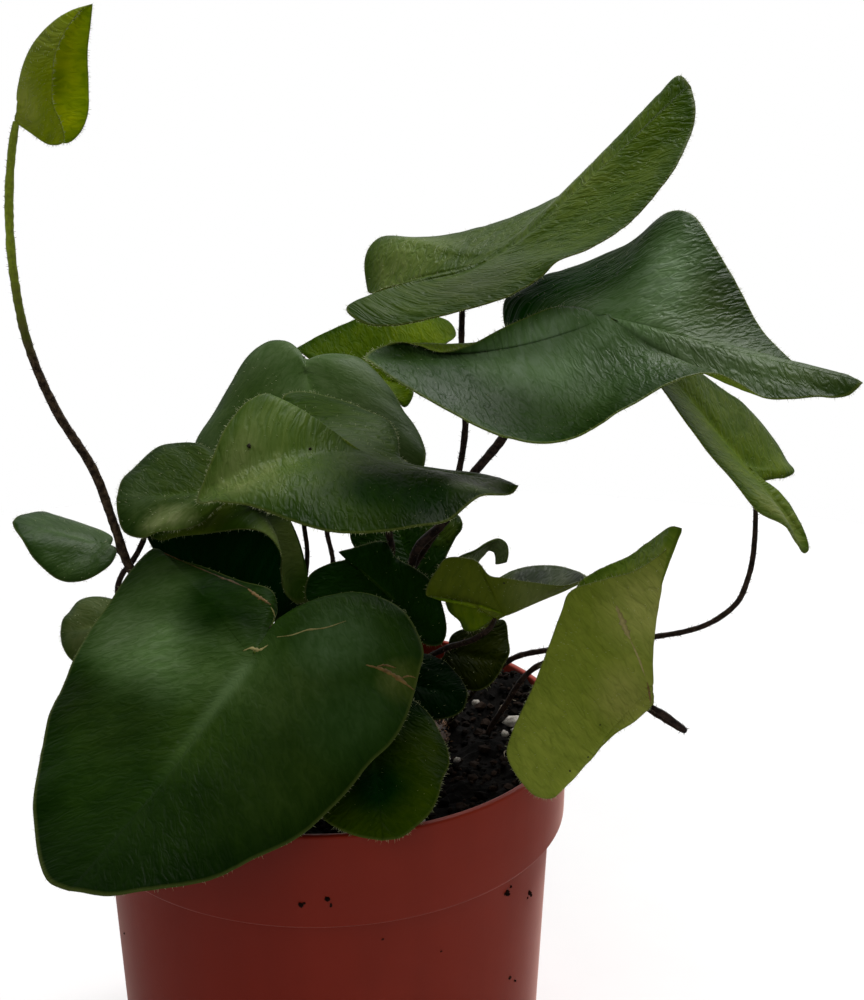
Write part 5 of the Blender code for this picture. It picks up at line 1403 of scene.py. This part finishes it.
def add_soil(draw):
    ledge = POT_HEIGHT - RIM_DEPTH
    top_radius = RIM_RADIUS - WALL - RIM_TAPER - CLEARANCE
    base_radius = BASE_RADIUS - WALL - CLEARANCE
    profile = [(top_radius * ring / SOIL_RINGS, SOIL_TOP) for ring in range(SOIL_RINGS + 1)]
    profile += [
        (top_radius, ledge + WALL + 2 * CLEARANCE),
        (BODY_RADIUS - WALL - CLEARANCE, ledge - WALL + 2 * CLEARANCE),
        (base_radius, FLOOR + BASE_ROUND + 2 * CLEARANCE),
        (base_radius - BASE_ROUND - CLEARANCE, FLOOR + CLEARANCE),
        (0, FLOOR + CLEARANCE),
    ]
    points, faces = turned(profile, SOIL_SIDES)
    points = np.array(points, float)
    count = 1 + SOIL_RINGS * SOIL_SIDES
    top = points[:count]
    top[:, 2] = soil_height(top[:, 0], top[:, 1]) - SOIL_SINK + draw.uniform(*SOIL_ROUGH, count)
    inside = np.hypot(top[:, 0], top[:, 1]) < top_radius - 0.5
    top[:, :2] += draw.uniform(-SOIL_SHIFT, SOIL_SHIFT, (count, 2)) * inside[:, None]
    soil = mesh_object("potting_mix", points, faces)
    soil.data.shade_flat()
    write_values(soil, "tone", draw.uniform(0, 1, len(points)) ** 2)
    dress(soil, soil_material("potting_mix"), "soil", "soil")


def lumps(name, middles, sizes, draw, squash=(1, 1, 0.75), rough=0.28, smooth=False):
    """One mesh of many small broken lumps, each a jittered twenty-sided grain."""
    corners = np.array([(-1, GOLDEN, 0), (1, GOLDEN, 0), (-1, -GOLDEN, 0), (1, -GOLDEN, 0),
                        (0, -1, GOLDEN), (0, 1, GOLDEN), (0, -1, -GOLDEN), (0, 1, -GOLDEN),
                        (GOLDEN, 0, -1), (GOLDEN, 0, 1), (-GOLDEN, 0, -1), (-GOLDEN, 0, 1)])
    sides = [(0, 11, 5), (0, 5, 1), (0, 1, 7), (0, 7, 10), (0, 10, 11), (1, 5, 9), (5, 11, 4),
             (11, 10, 2), (10, 7, 6), (7, 1, 8), (3, 9, 4), (3, 4, 2), (3, 2, 6), (3, 6, 8),
             (3, 8, 9), (4, 9, 5), (2, 4, 11), (6, 2, 10), (8, 6, 7), (9, 8, 1)]
    count = len(middles)
    shapes = unit(corners)[None] * (1 + draw.uniform(-rough, rough, (count, 12, 1)))
    shapes = shapes * np.array(squash) * draw.uniform(0.7, 1.3, (count, 1, 3))
    angle = draw.uniform(0, FULL_TURN, count)[:, None]
    x, y, z = np.moveaxis(shapes, 2, 0)
    shapes = np.stack([x * np.cos(angle) - y * np.sin(angle),
                       x * np.sin(angle) + y * np.cos(angle), z], axis=2)
    points = np.asarray(middles)[:, None] + 0.5 * shapes * np.asarray(sizes)[:, None, None]
    faces = [tuple(12 * one + corner for corner in side) for one in range(count) for side in sides]
    piece = mesh_object(name, points.reshape(-1, 3), faces)
    if not smooth:
        piece.data.shade_flat()
    write_values(piece, "tone", np.repeat(draw.uniform(0, 1, count) ** 1.6, 12))
    return piece


def eye_ray(px, py):
    """The way from the eye through a pixel of the photograph."""
    across = (px - PICTURE_CENTRE[0]) / PIXELS_PER_MM
    up = (PICTURE_CENTRE[1] - py) / PIXELS_PER_MM
    return place(across, up, 0) - EYE


def on_soil(px, py, above):
    """The point where the eye's line through a pixel meets the soil's top."""
    ray = eye_ray(px, py)
    point = EYE + ray * (SOIL_TOP + above - EYE[2]) / ray[2]
    point[:2] *= min(1.0, SOIL_REACH / math.hypot(point[0], point[1]))
    return point


def anywhere(draw, reach):
    """A random place on the soil within reach of the pot's axis."""
    away, turn = reach * math.sqrt(draw.uniform()), draw.uniform(0, FULL_TURN)
    return away * math.cos(turn), away * math.sin(turn)


def add_crumbs(draw):
    radius = CRUMB_REACH * np.sqrt(draw.uniform(0, 1, CRUMBS))
    angle = draw.uniform(0, FULL_TURN, CRUMBS)
    east, north = radius * np.cos(angle), radius * np.sin(angle)
    sizes = CRUMB_SIZE + CRUMB_SIZE_MORE * draw.uniform(0, 1, CRUMBS) ** 3
    sizes = np.minimum(sizes, 2 * (CRUMB_REACH + 0.3 - radius) + 0.5)
    height = soil_height(east, north) - CRUMB_SINK + draw.uniform(*CRUMB_RISE, CRUMBS)
    crumbs = lumps("soil_crumbs", np.column_stack([east, north, height]), sizes, draw)
    dress(crumbs, soil_material("soil_crumb"), "soil")


def add_perlite(draw):
    grains = [(on_soil(*pixel, 1.0), size) for pixel, size in PERLITE]
    grains = [grain for grain in grains if math.hypot(*grain[0][:2]) < PERLITE_REACH]
    for _ in range(PERLITE_GRAINS):
        east, north = anywhere(draw, PERLITE_REACH)
        height = float(soil_height(east, north)) + PERLITE_RISE
        grains.append(((east, north, height), draw.uniform(*PERLITE_SIZE)))
    perlite = lumps("perlite", *zip(*grains), draw, rough=0.2, smooth=True)
    dress(perlite, grainy_material("perlite_white"), "soil")


def add_root_hairs(draw):
    """White root hairs: first those that show, then others anywhere on the soil."""
    parts = []
    for drawn in ROOT_HAIRS:
        line = [on_soil(px, py, 1.1 + 0.4 * math.sin(2 * index))
                for index, (px, py) in enumerate(drawn)]
        radii = np.linspace(*SEEN_ROOT_RADII, SEEN_ROOT_PARTS)
        parts.append(tube(spline(line, SEEN_ROOT_PARTS), radii, SEEN_ROOT_SIDES))
    for _ in range(ROOT_TRIES):
        start_east, start_north = anywhere(draw, ROOT_REACH)
        way = draw.uniform(0, FULL_TURN)
        line = []
        for step in range(ROOT_POINTS):
            east = start_east + ROOT_STEP * step * math.cos(way)
            north = start_north + ROOT_STEP * step * math.sin(way)
            if math.hypot(east, north) > SOIL_REACH:
                break
            height = float(soil_height(east, north)) + draw.uniform(*ROOT_RISE)
            line.append((east, north, height))
            way += draw.uniform(-ROOT_TURN, ROOT_TURN)
        if len(line) > 2 and north >= BARE_SOIL_NORTH:
            radii = np.linspace(*ROOT_RADII, ROOT_PARTS)
            parts.append(tube(spline(line, ROOT_PARTS), radii, ROOT_SIDES))
    roots = mesh_object("root_hairs", *joined(parts))
    dress(roots, grainy_material("root_white"), "soil")


def add_rhizome(draw):
    """The scaly creeping stem, half sunk in the soil."""
    steps, sides = RHIZOME_STEPS, RHIZOME_SIDES
    centre = spline([(*where, SOIL_TOP - RHIZOME_SINK) for where in RHIZOME_LINE], steps)
    share = np.linspace(0, 1, steps)
    around = np.broadcast_to(np.arange(sides) / sides, (steps, sides))
    height = np.broadcast_to(share[:, None], (steps, sides))
    swell = 1
    for bulge, cells_round, cells_along, seed in RHIZOME_BULGES:
        swell = swell + bulge * closed_noise(around, height, cells_round, cells_along, seed)
    swell = np.sqrt(np.maximum(1 - (2 * share - 1) ** 4, 0.04))[:, None] * swell
    north = RHIZOME_HALF_WIDTH * swell * np.cos(FULL_TURN * around)
    rise = RHIZOME_HALF_HEIGHT * swell * np.sin(FULL_TURN * around)
    grid = centre[:, None] + np.stack([np.zeros_like(north), north, rise], axis=2)
    points = np.vstack([grid.reshape(-1, 3), centre[:1] - RHIZOME_END, centre[-1:] + RHIZOME_END])
    stem = mesh_object("rhizome_fine", points, tube_faces(steps, sides))
    dress(stem, grainy_material("rhizome_bark"), "rhizome", "rhizome")
    step = draw.integers(4, steps - 4, RHIZOME_SCALES)
    side = draw.integers(0, sides // 2 + 1, RHIZOME_SCALES)
    away = unit(grid[step, side] - centre[step])
    ways = away + draw.normal(0, 0.5, (RHIZOME_SCALES, 3))
    scales = hair_mesh("rhizome_scales", grid[step, side] - away * 0.2, ways,
                       draw.uniform(*RHIZOME_SCALE_LENGTH, RHIZOME_SCALES),
                       draw.uniform(*RHIZOME_SCALE_RADII, RHIZOME_SCALES))
    dress(scales, grainy_material("rhizome_scale"), "rhizome")


def surface_tree(grid):
    """What the eye's line is cast on: one face of a blade."""
    rings, spokes = grid.shape[:2]
    faces = []
    for start in range(0, (rings - 1) * spokes, spokes):
        faces += band(start, start + spokes, spokes)
    return BVHTree.FromPolygons([Vector(point) for point in grid.reshape(-1, 3)], faces)


def seen_on(tree, px, py):
    """Where the eye's line through a pixel meets the tree, and the surface's way there."""
    ray = Vector(eye_ray(px, py)).normalized()
    point, normal, _, _ = tree.ray_cast(Vector(EYE), ray)
    if point is None:
        return None
    if normal.dot(ray) > 0:
        normal = -normal
    return np.array(point), np.array(normal)


def mark_ridge(tree, pixels, width, draw):
    """A low dry ridge that lies on a blade along the pixels."""
    line = spline(np.array([(px, py, 0) for px, py in pixels], float), 5 * len(pixels))
    hits = [hit for hit in (seen_on(tree, px, py) for px, py, _ in line) if hit]
    middle, normal = (np.array(part) for part in zip(*hits))
    aside = unit(np.cross(np.gradient(middle, axis=0), normal))
    taper = np.sin(np.pi * np.linspace(0.08, 0.92, len(middle)))
    wide = (0.5 * width * taper * draw.uniform(*MARK_UNEVEN, len(middle)))[:, None]
    left = middle + aside * wide - normal * MARK_SIDE_SINK
    right = middle - aside * wide - normal * MARK_SIDE_SINK
    crest = middle + normal * draw.uniform(*MARK_RISE, len(middle))[:, None]
    below = middle - normal * MARK_SINK
    points = np.stack([left, crest, right, below], axis=1).reshape(-1, 3)
    end = len(points) - 4
    faces = [(3, 2, 1, 0), (end, end + 1, end + 2, end + 3)]
    for start in range(0, end, 4):
        faces += band(start, start + 4, 4, True)
    return points, faces


def add_marks(surfaces, draw):
    """Dry scratches, cracks and spots that lie on the blades."""
    faces_marked = dict.fromkeys((name, side) for name, side, *_ in MARKS + SPOTS)
    trees = {(name, side): surface_tree(surfaces[name][side]) for name, side in faces_marked}
    for tone in MARK_TONES:
        ridges = [mark_ridge(trees[name, side], pixels, width, draw)
                  for name, side, pixels, width, colour in MARKS if colour == tone]
        piece = mesh_object("leaf_marks_" + tone, *joined(ridges))
        dress(piece, grainy_material("mark_" + tone), "blade")
    spots = [(seen_on(trees[name, side], *pixel), size) for name, side, pixel, size in SPOTS]
    places, sizes = zip(*((hit[0], 2 * size) for hit, size in spots if hit))
    piece = lumps("leaf_spots", places, sizes, draw, squash=(1, 1, 1))
    dress(piece, grainy_material("mark_dark"), "blade")


def add_dirt(draw):
    """Crumbs of soil that stick to the pot."""
    points, faces = turned(pot_outline(), POT_SIDES)
    tree = BVHTree.FromPolygons([Vector(point) for point in points], faces)
    places, sizes = [], []
    for pixel, size in DIRT_SPOTS:
        hit = seen_on(tree, *pixel)
        for _ in range(3 if hit else 0):
            places.append(hit[0] + draw.normal(0, DIRT_SPREAD * size, 3) * (1, 0.3, 1))
            sizes.append(size * draw.uniform(*DIRT_SPOT_SHARE))
    for _ in range(DIRT_CRUMBS):
        angle, height = draw.uniform(0, FULL_TURN), draw.uniform(*DIRT_HEIGHTS)
        out = Vector((math.cos(angle), math.sin(angle), 0))
        point, _, _, _ = tree.ray_cast(out * DIRT_FROM + Vector((0, 0, height)), -out)
        if point is not None and angle < DIRT_UP_TO:
            places.append(np.array(point))
            sizes.append(draw.uniform(*DIRT_SIZE))
    dirt = lumps("pot_dirt", places, sizes, draw, squash=(1, 1, 1))
    dress(dirt, soil_material("dirt"), "soil")


def add_floor():
    """The plain pale floor, just under the pot."""
    profile = [(radius, -FLOOR_DROP) for radius in FLOOR_RADII]
    floor = mesh_object("floor", *turned(profile, FLOOR_SIDES))
    floor.data.materials.append(grainy_material("floor_pale"))
    floor.visible_glossy = False


def add_camera():
    camera = bpy.data.objects.new("camera", bpy.data.cameras.new("camera"))
    bpy.context.scene.collection.objects.link(camera)
    camera.data.sensor_fit = "VERTICAL"
    camera.data.sensor_height = SENSOR_HEIGHT
    camera.data.lens = LENS
    camera.data.clip_start = 0.005
    camera.location = Vector(EYE) * MM
    turn = Matrix([Vector(ACROSS), Vector(UPWARD), -Vector(FORWARD)]).transposed()
    camera.rotation_euler = turn.to_euler()
    bpy.context.scene.camera = camera


def add_light(name, location, size, power, in_gloss):
    light = bpy.data.lights.new(name, "AREA")
    light.shape = "DISK"
    light.size = size
    light.energy = power
    lamp = bpy.data.objects.new(name, light)
    bpy.context.scene.collection.objects.link(lamp)
    lamp.location = location
    away = Vector(location) - LIGHT_AIM
    lamp.rotation_euler = away.to_track_quat("Z", "Y").to_euler()
    lamp.visible_glossy = in_gloss


def add_air():
    """Even light from all round, and white where the camera sees it."""
    world = bpy.data.worlds.new("air")
    bpy.context.scene.world = world
    world.use_nodes = True
    nodes = Nodes(world.node_tree)
    way = nodes.add("ShaderNodeTexCoord", {}, "Generated")
    steps = [nodes.add("ShaderNodeMapRange", {
        "Value": nodes.add("ShaderNodeSeparateXYZ", {0: way}, axis),
        "From Min": dim_at, "From Max": bright_at}, interpolation_type="SMOOTHSTEP")
        for axis, (dim_at, bright_at) in (("Z", AIR_TOP), ("Y", AIR_BACK), ("Z", AIR_GROUND))]
    share = nodes.times(nodes.times(steps[0], steps[1]), steps[2])
    back = nodes.tree.nodes["Background"]
    nodes.put(back.inputs["Color"], (1, 1, 1))
    nodes.put(back.inputs["Strength"], nodes.ranged(share, 0.0, 1.0, DIM_AIR, BRIGHT_AIR))
    bright = nodes.add("ShaderNodeBackground", {"Color": (1, 1, 1), "Strength": 1.0})
    to_camera = nodes.add("ShaderNodeLightPath", {}, "Is Camera Ray")
    mix = nodes.add("ShaderNodeMixShader", {"Fac": to_camera, 1: back.outputs[0], 2: bright})
    nodes.put(nodes.tree.nodes["World Output"].inputs["Surface"], mix)
    bpy.context.scene.view_settings.view_transform = "Standard"


def main():
    draw = np.random.default_rng(20)
    add_camera()
    add_light("softbox", *SOFTBOX, True)
    add_light("fill", *FILL, False)
    add_air()
    add_floor()
    surfaces = add_blades()
    curl_edges = add_curl()
    materials = {
        "stipe": stipe_material("stipe_dark", seen(24, 17, 14), seen(58, 44, 36)),
        "stipe_young": stipe_material("stipe_young", seen(34, 25, 17), seen(76, 62, 46),
                                      (0.68, 0.84), seen(130, 146, 42)),
    }
    stipes = {name: add_stipe(name, frond, materials, draw)
              for name, frond in {**FRONDS, "curl": CURL}.items()}
    add_hairs(surfaces, curl_edges, stipes, draw)
    add_marks(surfaces, draw)
    add_pot()
    add_dirt(draw)
    add_soil(draw)
    add_crumbs(draw)
    add_perlite(draw)
    add_root_hairs(draw)
    add_rhizome(draw)


main()
